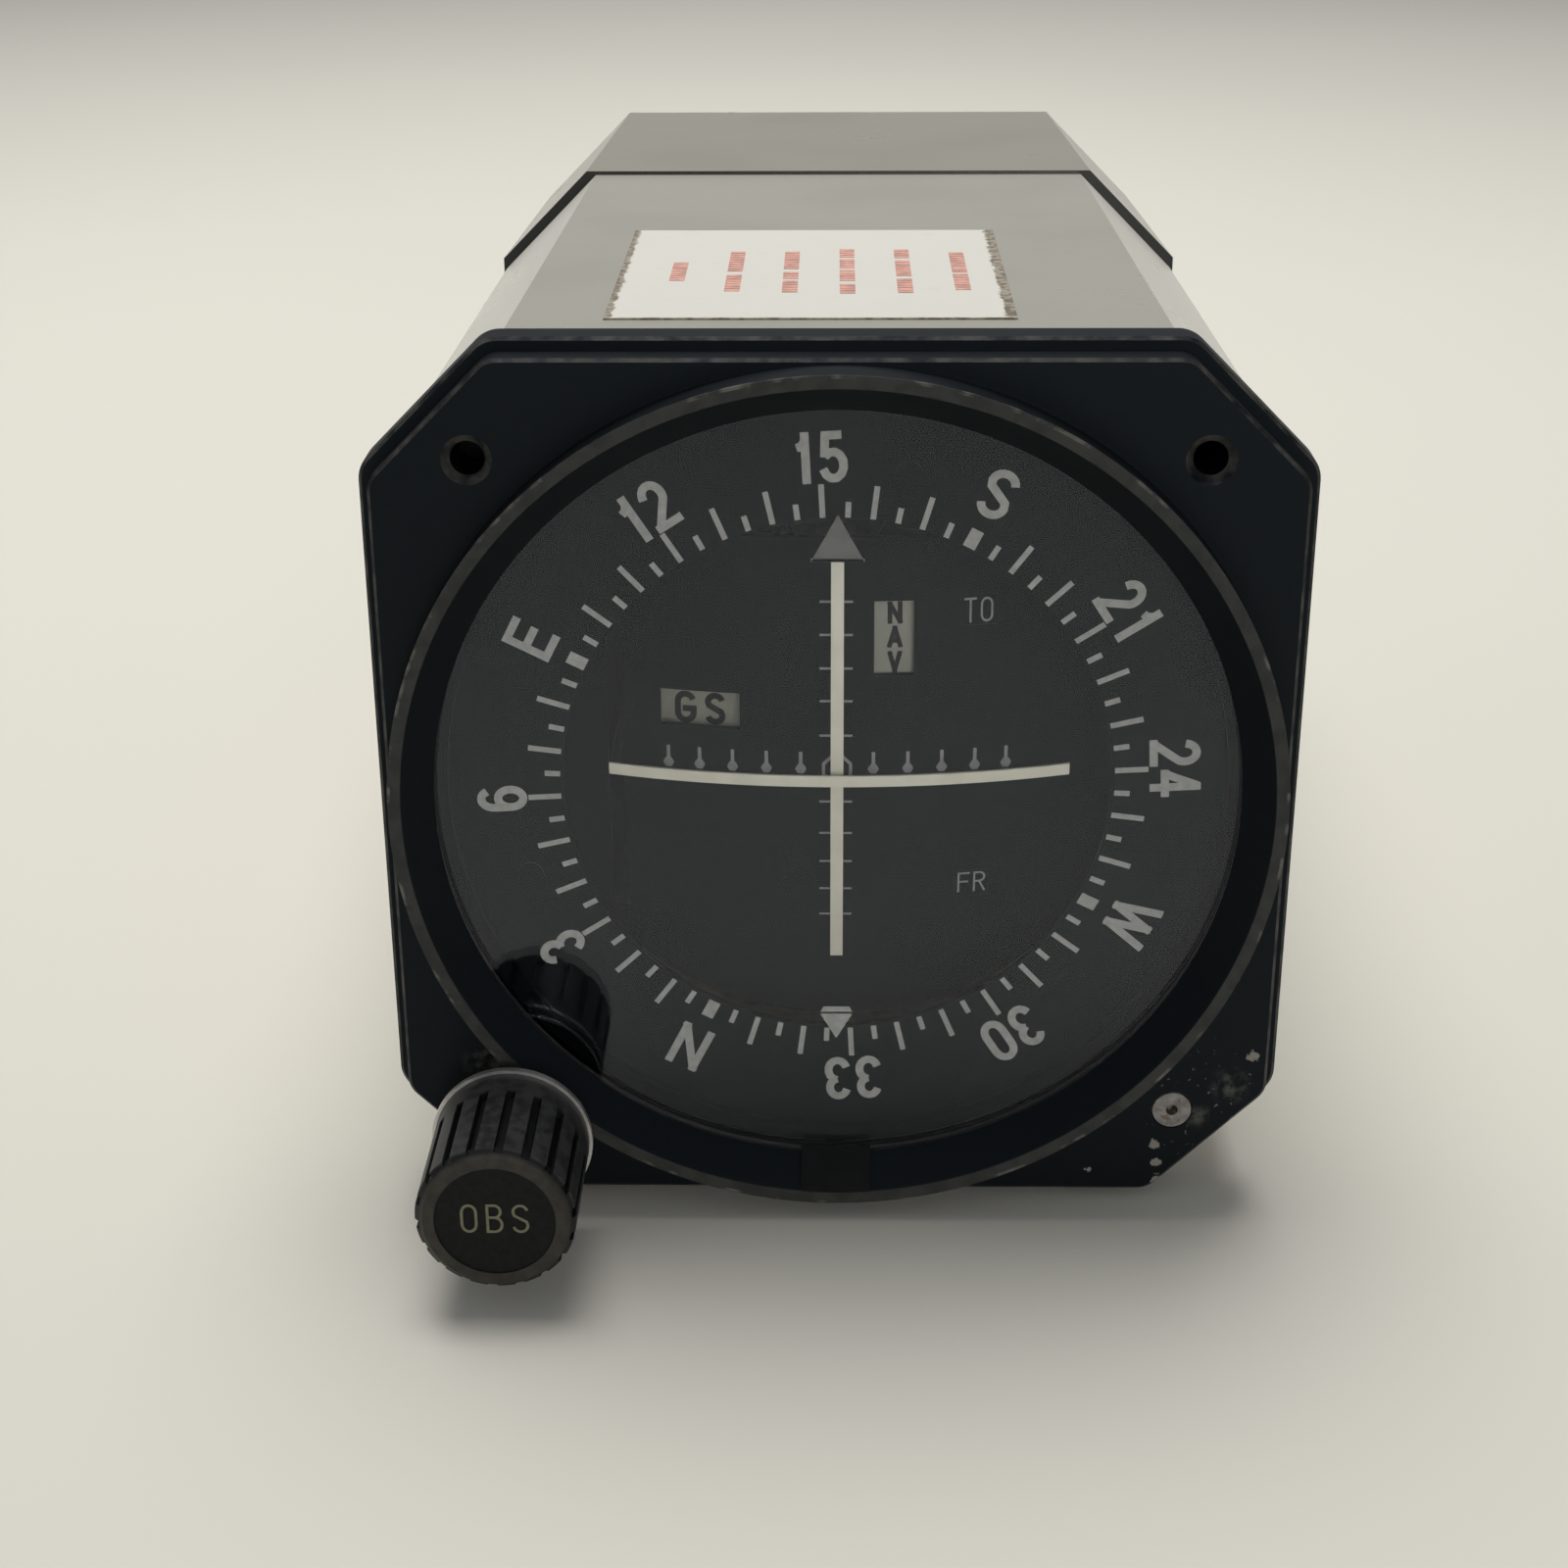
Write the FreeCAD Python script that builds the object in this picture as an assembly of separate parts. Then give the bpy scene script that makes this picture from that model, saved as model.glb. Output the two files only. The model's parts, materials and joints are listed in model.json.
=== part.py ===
import FreeCAD, Part
import math
import os

# A course deviation indicator for a 3 1/8 inch panel hole: a square bezel, a turning compass card,
# two crossed needles in front of a domed mask, three flags, an OBS knob and a resolver.
# Frame: +Z up, +X right and -Y towards the viewer; the origin is the centre of the bezel's
# front face, where the panel lies. Lengths are in millimetres and angles in degrees.

# Bezel
rim_half = 41.275
bolt_circle_share = 3.5 / 3.25
rim_corner_leg = 11.28
rim_corner_round = 3.0
plate_inset = 1.16
plate_thickness = 2.85
rim_thickness = 3.15
plate_edge_break = 0.3
spigot_margin = 1.675
spigot_height = 3.5
spigot_land = 1.14
spigot_wall = 3.7
cone_depth = 3.05
glass_seat_depth = 1.3
tongue_length = 2.5
tongue_wall = 1.2
tongue_notch_clearance = 0.9
panel_screw_radius = 1.5
countersink_radius = 2.2
countersink_depth = 0.7
corner_screw_radius = 1.93
corner_screw_socket = 0.55
corner_screw_socket_depth = 1.5
corner_screw_edge = 0.15
tab_half_width = 3.25
tab_thickness = 0.5

# Glass and light wedge
glass_thickness = 1.5
gasket_thickness = 0.5
gasket_width = 0.9
wedge_thickness = 2.1
retainer_thickness = 0.8
retainer_width = 2.0
paint_thickness = 0.1
glass_clearance = 0.1

# Fixed index marks, painted on the back of the light wedge
index_overlap = 0.75
top_index_height = 4.3
top_index_half_width = 2.35
bottom_index_height = 2.6
bottom_index_half_width = 1.5
bottom_bar_height = 0.55
bottom_bar_gap = 0.2

# Case
case_margin = 1.775
case_corner_front = 9.9
case_taper = 0.6
case_corner_seam = 10.8
case_wall = 1.0
seam_lead = 4.9
neck_length = 4.4
neck_inset = 0.9
cover_step = 0.4
cover_corner_seam = 10.1
cover_taper = 0.55
cover_corner_rear = 11.15
cover_wall = 1.2
cover_edge = 0.4
connector_room = 13.0
slip_clearance = 0.05
label_left = -21.0
label_right = 16.0
label_front = 17.0
label_back = 58.0
label_thickness = 0.15

# Compass card and its ring gear
card_gap = 0.25
card_thickness = 0.8
card_margin = 0.5
card_overlap = 3.6
web_thickness = 0.8
web_step = 0.5
gear_width = 3.0
ring_gear_rim = 2.85
bearing_wall = 1.55
bearing_clearance = 0.05
bearing_front_gap = 0.3
shoulder_width = 1.35
shoulder_thickness = 0.8
flange_width = 3.35
flange_thickness = 1.5
snap_ring_section = 0.5
snap_ring_clearance = 0.1
snap_ring_gap = 3.0
card_screw_inset = 0.55
card_screw_angles = (-42.0, 78.0, 198.0)
card_screw_head_radius = 1.2
card_screw_head_height = 0.25
card_screw_radius = 0.55

# Gear train
module = 0.6
ring_gear_margin = 2.9
idler_teeth = 16
pinion_teeth = 8
pinion_gap = 0.6
shaft_tail = 0.4
gear_clear = 0.25
addendum = 0.48
dedendum = 0.62
tip_share = 0.22
root_share = 0.54
countershaft_radius = 1.2
bush_wall = 1.2
bush_flange = 0.6
running_clearance = 0.05

# Domed mask and needles, all on spheres with one centre
mask_edge_drawn = 28.5
mask_radius_drawn = 70.0
mask_gap = 2.5
mask_wall = 0.8
mask_fit = 0.1
mask_skirt = 0.9355
needle_swing = 13.5
slot_end_gap = 0.26
slot_half_width = 0.7
needle_thickness = 0.3
loc_needle_gap = 1.05
loc_needle_half_width = 0.58
loc_needle_margin = 8.6
gs_needle_gap = 2.7
gs_needle_half_height = 0.53
gs_needle_lead = 0.35
gs_needle_margin = 7.2
loc_slot_rim = 0.54
gs_slot_rim = 1.5
arm_radius = 0.4

# Flags, on spheres behind the mask
window_overlap = 0.8
flag_gap = 0.5
flag_thickness = 0.4
flag_pitch = 0.9
flag_strip_half_width = 0.8
flag_hub_radius = 2.7
post_radius = 0.8
tube_wall = 0.4
rotor_radius = 4.0
rotor_length = 3.0
rotor_pitch = 4.0
rotor_lead = 2.0
flag_coil_bore = 4.4
flag_coil_radius = 7.0
flag_can_wall = 1.0

# Chassis
plate_wall = 1.5
plate_gap = 0.4
main_plate_lip = 1.1
meter_plate_distance = 10.0
meter_plate_shaft_gap = 0.8
resolver_gear_gap = 2.8
resolver_plate_gap = 2.2
rod_side_inset = 6.3
rod_corner_inset = 8.1
rod_radius = 2.0
stud_radius = 1.2
stud_length = 3.0
stud_clearance = 0.05
bridge_gap = 1.0
bridge_half_width = 3.0
bridge_post_margin = 3.5
bridge_post_angles = (-80.0, -10.0)
bridge_post_radius = 1.6
lamp_margin = 2.7
lamp_angles = (50.0, 130.0, 310.0)
lamp_radius = 1.2
lamp_length = 4.0
lamp_base_radius = 1.7
lamp_base_length = 3.5

# Resolver
resolver_radius = 12.7
resolver_length = 28.0
resolver_boss_radius = 6.0
resolver_edge = 0.8
resolver_shaft_radius = 1.5
resolver_shaft_lead = 1.0
resolver_shaft_tail = 5.0
resolver_bore_end = 1.0
gear_hub_radius = 4.0
gear_web = 1.0
gear_rim = 3.0
lightening_holes = 5
lightening_radius = 8.0
lightening_circle = 18.0
lightening_turn = 18.0

# Boards
board_thickness = 1.6
board_past_rod = 0.5
board_front_gap = 17.5
board_rear_gap = 4.0
chip_length = 12.0
chip_height = 7.0
chip_rise = 3.0
chip_places = ((0.16, 0.36), (0.16, -0.45), (0.54, 0.45))
coil_block = 9.0
coil_block_rise = 4.5
coil_block_places = ((0.52, -0.36),)
socket_length = 6.0
socket_height = 14.0
socket_rise = 5.0
socket_places = ((0.84, 0.0),)
capacitor_radius = 2.5
capacitor_rise = 6.0
capacitor_places = ((0.32, 0.73), (0.32, -0.73), (0.72, 0.73), (0.72, -0.77))
rear_board_side_gap = 0.5
rear_board_gap = 5.4

# Rear connector and screws
connector_radius = 10.8
connector_wall = 1.2
connector_length = 12.0
connector_flange_half = 13.0
connector_flange_thickness = 1.6
connector_inner_length = 4.0
insert_recess = 6.0
contact_radius = 0.6
contact_circle = 6.8
outer_contacts = 12
inner_contacts = 6
connector_screw_offset = 10.4
small_head_radius = 1.5
small_head_height = 0.8
small_screw_radius = 0.8
rear_head_radius = 2.6
rear_head_height = 1.4

# Knob
knob_shift_x = 1.65
knob_shift_z = -0.17
knob_radius = 7.1
knob_length = 14.1
knob_gap = 1.8
knob_base_lip = 0.3
knob_base_thickness = 0.6
knob_front_chamfer = 0.75
knob_flutes = 18
flute_phase = 0.74
flute_half_width = 0.42
flute_depth = 0.8
notch_depth = 0.35
flute_front_land = 1.4
flute_rear_land = 3.0
cap_radius = 5.35
cap_recess = 0.6
cap_thickness = 0.45
shaft_radius = 1.5875
shaft_recess = 2.5
pinion_seat_radius = 1.2
bushing_radius = 2.6
bushing_front = 0.1
bushing_head_radius = 3.1
spotface_radius = 3.7
spotface_depth = 1.2
nut_corner_gap = 0.2
set_screw_radius = 1.2
set_screw_length = 3.6
set_screw_shift = 1.5
set_screw_socket_depth = 1.2

# Values worked out from those above: bezel and glass
rim_back = plate_thickness + rim_thickness
corner = rim_half * bolt_circle_share / math.sqrt(2)
spigot_radius = rim_half - spigot_margin
window_radius = spigot_radius - spigot_wall
glass_front = cone_depth - spigot_height
glass_seat_radius = window_radius + glass_seat_depth
glass_radius = glass_seat_radius - glass_clearance
gasket_front = glass_front + glass_thickness
wedge_front = gasket_front + gasket_thickness
wedge_back = wedge_front + wedge_thickness

# Card, gears and bearing
card_front = wedge_back + retainer_thickness + card_gap
card_back = card_front + card_thickness
card_radius = window_radius - card_margin
gear_front = card_back + web_thickness
gear_back = gear_front + gear_width
ring_teeth = 2 * round((window_radius - ring_gear_margin) / module)
ring_pitch = module * ring_teeth / 2
idler_pitch = module * idler_teeth / 2
pinion_pitch = module * pinion_teeth / 2
bearing_radius = ring_pitch - ring_gear_rim
bearing_bore = bearing_radius - bearing_wall
shoulder_radius = bearing_radius + shoulder_width
flange_radius = bearing_radius + flange_width
card_screw_circle = bearing_radius - card_screw_inset
lamp_circle = ring_pitch + lamp_margin

# Knob and the idler between its pinion and the ring gear
knob_x = knob_shift_x - corner
knob_z = knob_shift_z - corner
knob_rear = -spigot_height - knob_gap
knob_front = knob_rear - knob_length
knob_body_rear = knob_rear - knob_base_thickness
shaft_front = knob_front + shaft_recess
set_screw_y = (knob_front + knob_rear) / 2 + set_screw_shift
pinion_front = rim_back + pinion_gap
idler_distance = ring_pitch + idler_pitch
knob_distance = math.hypot(knob_x, knob_z)
mesh_distance = idler_pitch + pinion_pitch
idler_turn = math.acos(
    (idler_distance**2 + knob_distance**2 - mesh_distance**2)
    / (2 * idler_distance * knob_distance)
)
idler_angle = math.atan2(knob_z, knob_x) + idler_turn
idler_x = idler_distance * math.cos(idler_angle)
idler_z = idler_distance * math.sin(idler_angle)

# Mask and needles; the sizes below are drawn for one mask and follow its edge
mask_edge_radius = bearing_bore - mask_fit
dial_scale = mask_edge_radius / mask_edge_drawn
mask_radius = mask_radius_drawn * dial_scale
card_hole_radius = mask_edge_radius - card_overlap
web_hole_radius = card_hole_radius + web_step
index_tip_radius = card_hole_radius + index_overlap
mask_front = card_back + mask_gap
sphere_y = mask_front + mask_radius
loc_sphere = mask_radius + loc_needle_gap
gs_sphere = mask_radius + gs_needle_gap
slot_half_length = mask_radius * math.sin(math.radians(needle_swing)) + slot_end_gap


def arm_place(slot_rim):
    """How far from the middle an arm's slot can lie and stay inside the mask's edge."""
    reach = mask_edge_radius - slot_rim
    return math.sqrt(reach**2 - slot_half_length**2) - slot_half_width


loc_arm_height = arm_place(loc_slot_rim)
gs_arm_offset = arm_place(gs_slot_rim)
loc_needle_bottom = loc_needle_margin - mask_edge_radius
gs_needle_left = -gs_arm_offset - gs_needle_lead
gs_needle_right = mask_edge_radius - gs_needle_margin


def scaled(*values):
    return tuple(value * dial_scale for value in values)


nav_window = scaled(3.33, 6.98, 8.85, 15.6)
gs_window = scaled(-16.2, -8.9, 3.6, 7.05)
to_window = scaled(11.2, 14.5, 13.2, 15.9)
from_window = scaled(11.0, 14.3, -13.9, -11.1)
to_from_patch_radius = 18.5 * dial_scale
to_from_patch_half = 2.6 * dial_scale

# Meter movements
core_radius = 3.0 * dial_scale
core_half_length = 3.6 * dial_scale
core_pin_radius = 0.8 * dial_scale
yoke_bore = 5.4 * dial_scale
yoke_wall = 1.4 * dial_scale
yoke_half_length = 4.0 * dial_scale
yoke_bar_thickness = 1.0 * dial_scale
yoke_bar_half_width = 1.6 * dial_scale
yoke_bar_gap = 2.9 * dial_scale
coil_half_width = 4.9 * dial_scale
coil_half_height = 5.2 * dial_scale
coil_wire = 1.0 * dial_scale
staff_radius = 0.3 * dial_scale
arm_level = 6.0 * dial_scale
hub_radius = 0.9 * dial_scale
hub_length = 1.0 * dial_scale
jewel_radius = 1.0 * dial_scale
tail_length = 5.0 * dial_scale
counterweight_radius = 1.3 * dial_scale
counterweight_length = 2.0 * dial_scale

# Chassis, from the front to the back
mask_edge_y = sphere_y - math.sqrt(mask_radius**2 - mask_edge_radius**2)
main_plate_front = mask_edge_y + mask_skirt
main_plate_back = main_plate_front + plate_wall
main_plate_hole = bearing_bore - main_plate_lip
rotor_front = main_plate_front - rotor_lead
bridge_front = rotor_front + 3 * rotor_pitch + bridge_gap
bridge_post_circle = main_plate_hole + bridge_post_margin
meter_y = sphere_y
yoke_radius = yoke_bore + yoke_wall
bar_level = yoke_half_length + yoke_bar_gap
meter_plate_front = sphere_y + meter_plate_distance
meter_plate_back = meter_plate_front + plate_wall
resolver_gear_front = meter_plate_back + resolver_gear_gap
resolver_plate_front = resolver_gear_front + gear_width + resolver_plate_gap
resolver_plate_back = resolver_plate_front + plate_wall
board_front = main_plate_back + board_front_gap
board_rear = meter_plate_front - board_rear_gap

# Case
case_half_front = rim_half - case_margin
case_flat_front = case_half_front - case_corner_front
case_half_seam = case_half_front - case_taper
case_flat_seam = case_half_seam - case_corner_seam
cover_half_seam = case_half_seam + cover_step
cover_flat_seam = cover_half_seam - cover_corner_seam
cover_half_rear = cover_half_seam - cover_taper
cover_flat_rear = cover_half_rear - cover_corner_rear
seam_y = resolver_plate_front - seam_lead
rear_y = resolver_plate_back + resolver_length + connector_room
cover_inner_rear = rear_y - cover_wall
rod_x = case_half_front - rod_side_inset
rod_z = case_flat_front - rod_corner_inset
rods = [(x * rod_x, z * rod_z) for x in (-1, 1) for z in (-1, 1)]
board_outer = rod_x - rod_radius
board_half_height = rod_z + board_past_rod
rear_board_half = rod_z - rod_radius - rear_board_side_gap


# Shapes used throughout
def vec(x, y, z):
    return FreeCAD.Vector(x, y, z)


def box(x0, x1, y0, y1, z0, z1):
    return Part.makeBox(x1 - x0, y1 - y0, z1 - z0, vec(x0, y0, z0))


def disc(radius, y0, y1, x=0.0, z=0.0):
    return Part.makeCylinder(radius, y1 - y0, vec(x, y0, z), vec(0, 1, 0))


def ring(inner, outer, y0, y1, x=0.0, z=0.0):
    return disc(outer, y0, y1, x, z).cut(disc(inner, y0, y1, x, z))


def ball(radius):
    return Part.makeSphere(radius, vec(0, sphere_y, 0))


def shell_of(inner, outer):
    return ball(outer).cut(ball(inner))


def turned(points, x=0.0, z=0.0):
    """A solid turned about a line along Y, from its (radius, y) outline."""
    corners = [vec(r, y, 0) for r, y in points]
    face = Part.Face(Part.makePolygon(corners + corners[:1]))
    solid = face.revolve(vec(0, 0, 0), vec(0, 1, 0), 360)
    solid.translate(vec(x, 0, z))
    return solid


def prism(points, y0, y1):
    """A solid with an (x, z) outline, from y0 to y1."""
    corners = [vec(x, y0, z) for x, z in points]
    face = Part.Face(Part.makePolygon(corners + corners[:1]))
    return face.extrude(vec(0, y1 - y0, 0))


def octagon_points(half, flat):
    quarter = [(flat, half), (half, flat)]
    points = []
    for turn in range(4):
        for x, z in quarter:
            for _ in range(turn):
                x, z = z, -x
            points.append((x, z))
    return points


def octagon_wire(half, flat, y):
    corners = [vec(x, y, z) for x, z in octagon_points(half, flat)]
    return Part.makePolygon(corners + corners[:1])


def tapered_octagon(half0, flat0, y0, half1, flat1, y1):
    ends = [octagon_wire(half0, flat0, y0), octagon_wire(half1, flat1, y1)]
    return Part.makeLoft(ends, True, True)


def edges_along_y(solid):
    return [
        e
        for e in solid.Edges
        if abs(abs(e.tangentAt(e.FirstParameter).y) - 1) < 1e-6 and e.Length > 0.1
    ]


def edges_at(solid, y):
    return [e for e in solid.Edges if abs(e.BoundBox.YMin - y) + abs(e.BoundBox.YMax - y) < 1e-6]


def at_angle(circle, angle):
    turn = math.radians(angle)
    return circle * math.cos(turn), circle * math.sin(turn)


def fused(solids):
    whole = solids[0]
    for solid in solids[1:]:
        whole = whole.fuse(solid)
    return whole.removeSplitter()


def group(solids):
    return Part.makeCompound(solids)


os.makedirs("parts", exist_ok=True)


def write(name, shape):
    shape.exportStep("parts/" + name + ".step")


# Gears: straight-sided stub teeth with backlash, set in mesh at rest
def gear_points(teeth, tooth_angle, x=0.0, z=0.0):
    pitch_radius = module * teeth / 2
    pitch_angle = 2 * math.pi / teeth
    root = pitch_radius - dedendum
    tip = pitch_radius + addendum
    outline = []
    for tooth in range(teeth):
        centre = tooth_angle + tooth * pitch_angle
        for radius, share in (
            (root, -root_share),
            (tip, -tip_share),
            (tip, tip_share),
            (root, root_share),
        ):
            angle = centre + share * pitch_angle / 2
            outline.append((x + radius * math.cos(angle), z + radius * math.sin(angle)))
    return outline


def meshed_tooth(tooth_angle, teeth, direction, other_teeth):
    """The angle of a tooth on a gear that meshes with another, seen from it in this direction."""
    pitch_angle = 2 * math.pi / teeth
    other_pitch = 2 * math.pi / other_teeth
    offset = ((tooth_angle - direction) / pitch_angle) % 1.0
    return direction + math.pi - offset * other_pitch + other_pitch / 2


ring_tooth = 0.0
idler_tooth = meshed_tooth(ring_tooth, ring_teeth, idler_angle, idler_teeth)
knob_direction = math.atan2(knob_z - idler_z, knob_x - idler_x)
pinion_tooth = meshed_tooth(idler_tooth, idler_teeth, knob_direction, pinion_teeth)


# Case outline at a distance behind the panel plane
def case_size(y, inset=0.0):
    share = (y - rim_back) / (seam_y - rim_back)
    half = case_half_front + share * (case_half_seam - case_half_front)
    flat = case_flat_front + share * (case_flat_seam - case_flat_front)
    return half - inset, flat - inset * (math.sqrt(2) - 1)


def cover_size(y, inset=0.0):
    share = (y - seam_y) / (rear_y - seam_y)
    half = cover_half_seam + share * (cover_half_rear - cover_half_seam)
    flat = cover_flat_seam + share * (cover_flat_rear - cover_flat_seam)
    return half - inset, flat - inset * (math.sqrt(2) - 1)


def case_octagon(y0, y1, inset=0.0):
    return tapered_octagon(*case_size(y0, inset), y0, *case_size(y1, inset), y1)


def cover_octagon(y0, y1, inset=0.0):
    return tapered_octagon(*cover_size(y0, inset), y0, *cover_size(y1, inset), y1)


# Bezel
def rounded_plate(half, leg, radius, y0, y1):
    plate = prism(octagon_points(half, half - leg), y0, y1)
    return plate.makeFillet(radius, edges_along_y(plate))


def make_bezel():
    front_leg = rim_corner_leg - plate_inset * (2 - math.sqrt(2))
    front = rounded_plate(
        rim_half - plate_inset,
        front_leg,
        rim_corner_round - plate_inset / 2,
        0,
        plate_thickness,
    )
    front = front.makeChamfer(plate_edge_break, edges_at(front, 0))
    rim = rounded_plate(rim_half, rim_corner_leg, rim_corner_round, plate_thickness, rim_back)
    rim = rim.makeChamfer(plate_edge_break, edges_at(rim, plate_thickness))
    spigot = disc(spigot_radius, -spigot_height, plate_thickness)
    tongue_back = rim_back + tongue_length
    fit = case_wall + slip_clearance
    tongue = case_octagon(rim_back, tongue_back, fit)
    tongue = tongue.cut(case_octagon(rim_back, tongue_back, fit + tongue_wall))
    body = fused([front, rim, spigot, tongue])
    bore = turned(
        [
            (0, -spigot_height),
            (spigot_radius - spigot_land, -spigot_height),
            (window_radius, glass_front),
            (glass_seat_radius, glass_front),
            (glass_seat_radius, rim_back),
            (0, rim_back),
        ]
    )
    body = body.cut(bore)
    for x in (-corner, corner):
        body = body.cut(panel_hole(x, corner))
    body = body.cut(disc(corner_screw_radius, 0, rim_back, corner, -corner))
    body = body.cut(disc(bushing_radius, 0, rim_back, knob_x, knob_z))
    body = body.cut(disc(spotface_radius, 0, spotface_depth, knob_x, knob_z))
    pocket = pinion_pitch + addendum + tongue_notch_clearance
    body = body.cut(disc(pocket, rim_back, tongue_back, knob_x, knob_z))
    for x, z in rods:
        body = body.cut(disc(stud_radius, rim_back - stud_length, rim_back, x, z))
    return body


def panel_hole(x, z):
    return turned(
        [
            (0, 0),
            (countersink_radius, 0),
            (panel_screw_radius, countersink_depth),
            (panel_screw_radius, rim_back),
            (0, rim_back),
        ],
        x,
        z,
    )


def make_corner_screw():
    screw = disc(corner_screw_radius, 0, rim_back, corner, -corner)
    screw = screw.makeChamfer(corner_screw_edge, edges_at(screw, 0))
    return screw.cut(disc(corner_screw_socket, 0, corner_screw_socket_depth, corner, -corner))


def make_tab():
    """The bare pad on the bezel's cone, below the window."""
    slope = math.hypot(spigot_radius - spigot_land - window_radius, cone_depth)
    drop = tab_thickness * slope / cone_depth
    band = turned(
        [
            (spigot_radius - spigot_land, -spigot_height),
            (window_radius, glass_front),
            (window_radius - drop, glass_front),
            (spigot_radius - spigot_land - drop, -spigot_height),
        ]
    )
    reach = spigot_radius
    return band.common(
        box(-tab_half_width, tab_half_width, -spigot_height, 0, -reach, -window_radius / 2)
    )


def make_index_marks():
    back = wedge_back + paint_thickness
    top_base = index_tip_radius - top_index_height
    bottom_base = bottom_index_height - index_tip_radius
    bar_low = bottom_base + bottom_bar_gap
    bar_high = bar_low + bottom_bar_height
    outlines = (
        [(0, index_tip_radius), (top_index_half_width, top_base), (-top_index_half_width, top_base)],
        [
            (0, -index_tip_radius),
            (-bottom_index_half_width, bottom_base),
            (bottom_index_half_width, bottom_base),
        ],
        [
            (-bottom_index_half_width, bar_low),
            (bottom_index_half_width, bar_low),
            (bottom_index_half_width, bar_high),
            (-bottom_index_half_width, bar_high),
        ],
    )
    return group([prism(outline, wedge_back, back) for outline in outlines])


write("bezel", make_bezel())
write("corner_screw", make_corner_screw())
write("bezel_tab", make_tab())
write("glass", disc(glass_radius, glass_front, gasket_front))
write("glass_gasket", ring(glass_radius - gasket_width, glass_radius, gasket_front, wedge_front))
write("light_wedge", disc(glass_radius, wedge_front, wedge_back))
write("index_marks", make_index_marks())
write(
    "window_retainer",
    ring(
        glass_seat_radius - retainer_width,
        glass_seat_radius,
        wedge_back,
        wedge_back + retainer_thickness,
    ),
)


# Case shells and label
def make_case():
    outer = case_octagon(rim_back, seam_y)
    inner = case_octagon(rim_back, seam_y, case_wall)
    tube = outer.cut(inner)
    neck_back = seam_y + neck_length
    overlap = seam_y - case_wall
    neck_wall = neck_inset + case_wall
    neck = case_octagon(overlap, neck_back, neck_inset)
    neck = neck.cut(case_octagon(overlap, neck_back, neck_wall))
    return fused([tube, neck])


def make_cover():
    outer = cover_octagon(seam_y, rear_y)
    inner = cover_octagon(seam_y, cover_inner_rear, cover_wall)
    cover = outer.cut(inner)
    cover = cover.makeChamfer(cover_edge, edges_at(cover, rear_y))
    cover = cover.cut(disc(connector_radius, cover_inner_rear, rear_y))
    for x, z in rods:
        cover = cover.cut(disc(stud_radius + stud_clearance, cover_inner_rear, rear_y, x, z))
    for x, z in connector_screw_places():
        cover = cover.cut(disc(small_screw_radius, cover_inner_rear, rear_y, x, z))
    return cover


def connector_screw_places():
    return [(x * connector_screw_offset, z * connector_screw_offset) for x in (-1, 1) for z in (-1, 1)]


def make_label():
    top_front = case_size(label_front)[0]
    top_back = case_size(label_back)[0]
    corners = [
        vec(label_left, label_front, top_front),
        vec(label_left, label_back, top_back),
        vec(label_left, label_back, top_back + label_thickness),
        vec(label_left, label_front, top_front + label_thickness),
    ]
    face = Part.Face(Part.makePolygon(corners + corners[:1]))
    return face.extrude(vec(label_right - label_left, 0, 0))


write("case_shell", make_case())
write("rear_cover", make_cover())
write("top_label", make_label())


# Compass card, ring gear and bearing
def make_ring_gear():
    teeth = prism(gear_points(ring_teeth, ring_tooth), gear_front, gear_back)
    bore = bearing_radius + bearing_clearance
    rim = teeth.cut(disc(bore, gear_front, gear_back))
    root = ring_pitch - dedendum
    web = ring(web_hole_radius, root, card_back, gear_front)
    loose = snap_ring_clearance
    groove = ring(bore - loose, bore + snap_ring_section, *snap_span(loose))
    gear = fused([rim, web]).cut(groove)
    return gear.cut(group(card_screw_shanks()))


def snap_span(clearance):
    middle = (gear_front + gear_back) / 2
    half = snap_ring_section / 2 + clearance
    return middle - half, middle + half


def card_screw_shanks():
    places = [at_angle(card_screw_circle, angle) for angle in card_screw_angles]
    return [disc(card_screw_radius, card_front, gear_front, x, z) for x, z in places]


def make_card_screws():
    screws = []
    for angle, shank in zip(card_screw_angles, card_screw_shanks()):
        x, z = at_angle(card_screw_circle, angle)
        head = disc(card_screw_head_radius, card_front - card_screw_head_height, card_front, x, z)
        screws.append(fused([shank, head]))
    return group(screws)


def make_bearing():
    shoulder = gear_back + bearing_front_gap
    base = main_plate_front - flange_thickness
    front = gear_front + bearing_front_gap
    body = turned(
        [
            (bearing_bore, front),
            (bearing_radius, front),
            (bearing_radius, shoulder),
            (shoulder_radius, shoulder),
            (shoulder_radius, shoulder + shoulder_thickness),
            (bearing_radius, shoulder + shoulder_thickness),
            (bearing_radius, base),
            (flange_radius, base),
            (flange_radius, main_plate_front),
            (bearing_bore, main_plate_front),
        ]
    )
    loose = snap_ring_clearance
    inner = bearing_radius - snap_ring_section
    return body.cut(ring(inner, bearing_radius + loose, *snap_span(loose)))


def make_snap_ring():
    inner = bearing_radius - snap_ring_section + bearing_clearance
    outer = bearing_radius + bearing_clearance + snap_ring_section - 2 * bearing_clearance
    snap = ring(inner, outer, *snap_span(0.0))
    half_gap = snap_ring_gap / 2
    return snap.cut(box(-half_gap, half_gap, *snap_span(snap_ring_clearance), 0, outer + 1))


card = ring(card_hole_radius, card_radius, card_front, card_back)
write("compass_card", card.cut(group(card_screw_shanks())))
write("card_gear", make_ring_gear())
write("card_screws", make_card_screws())
write("card_bearing", make_bearing())
write("card_snap_ring", make_snap_ring())


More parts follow.
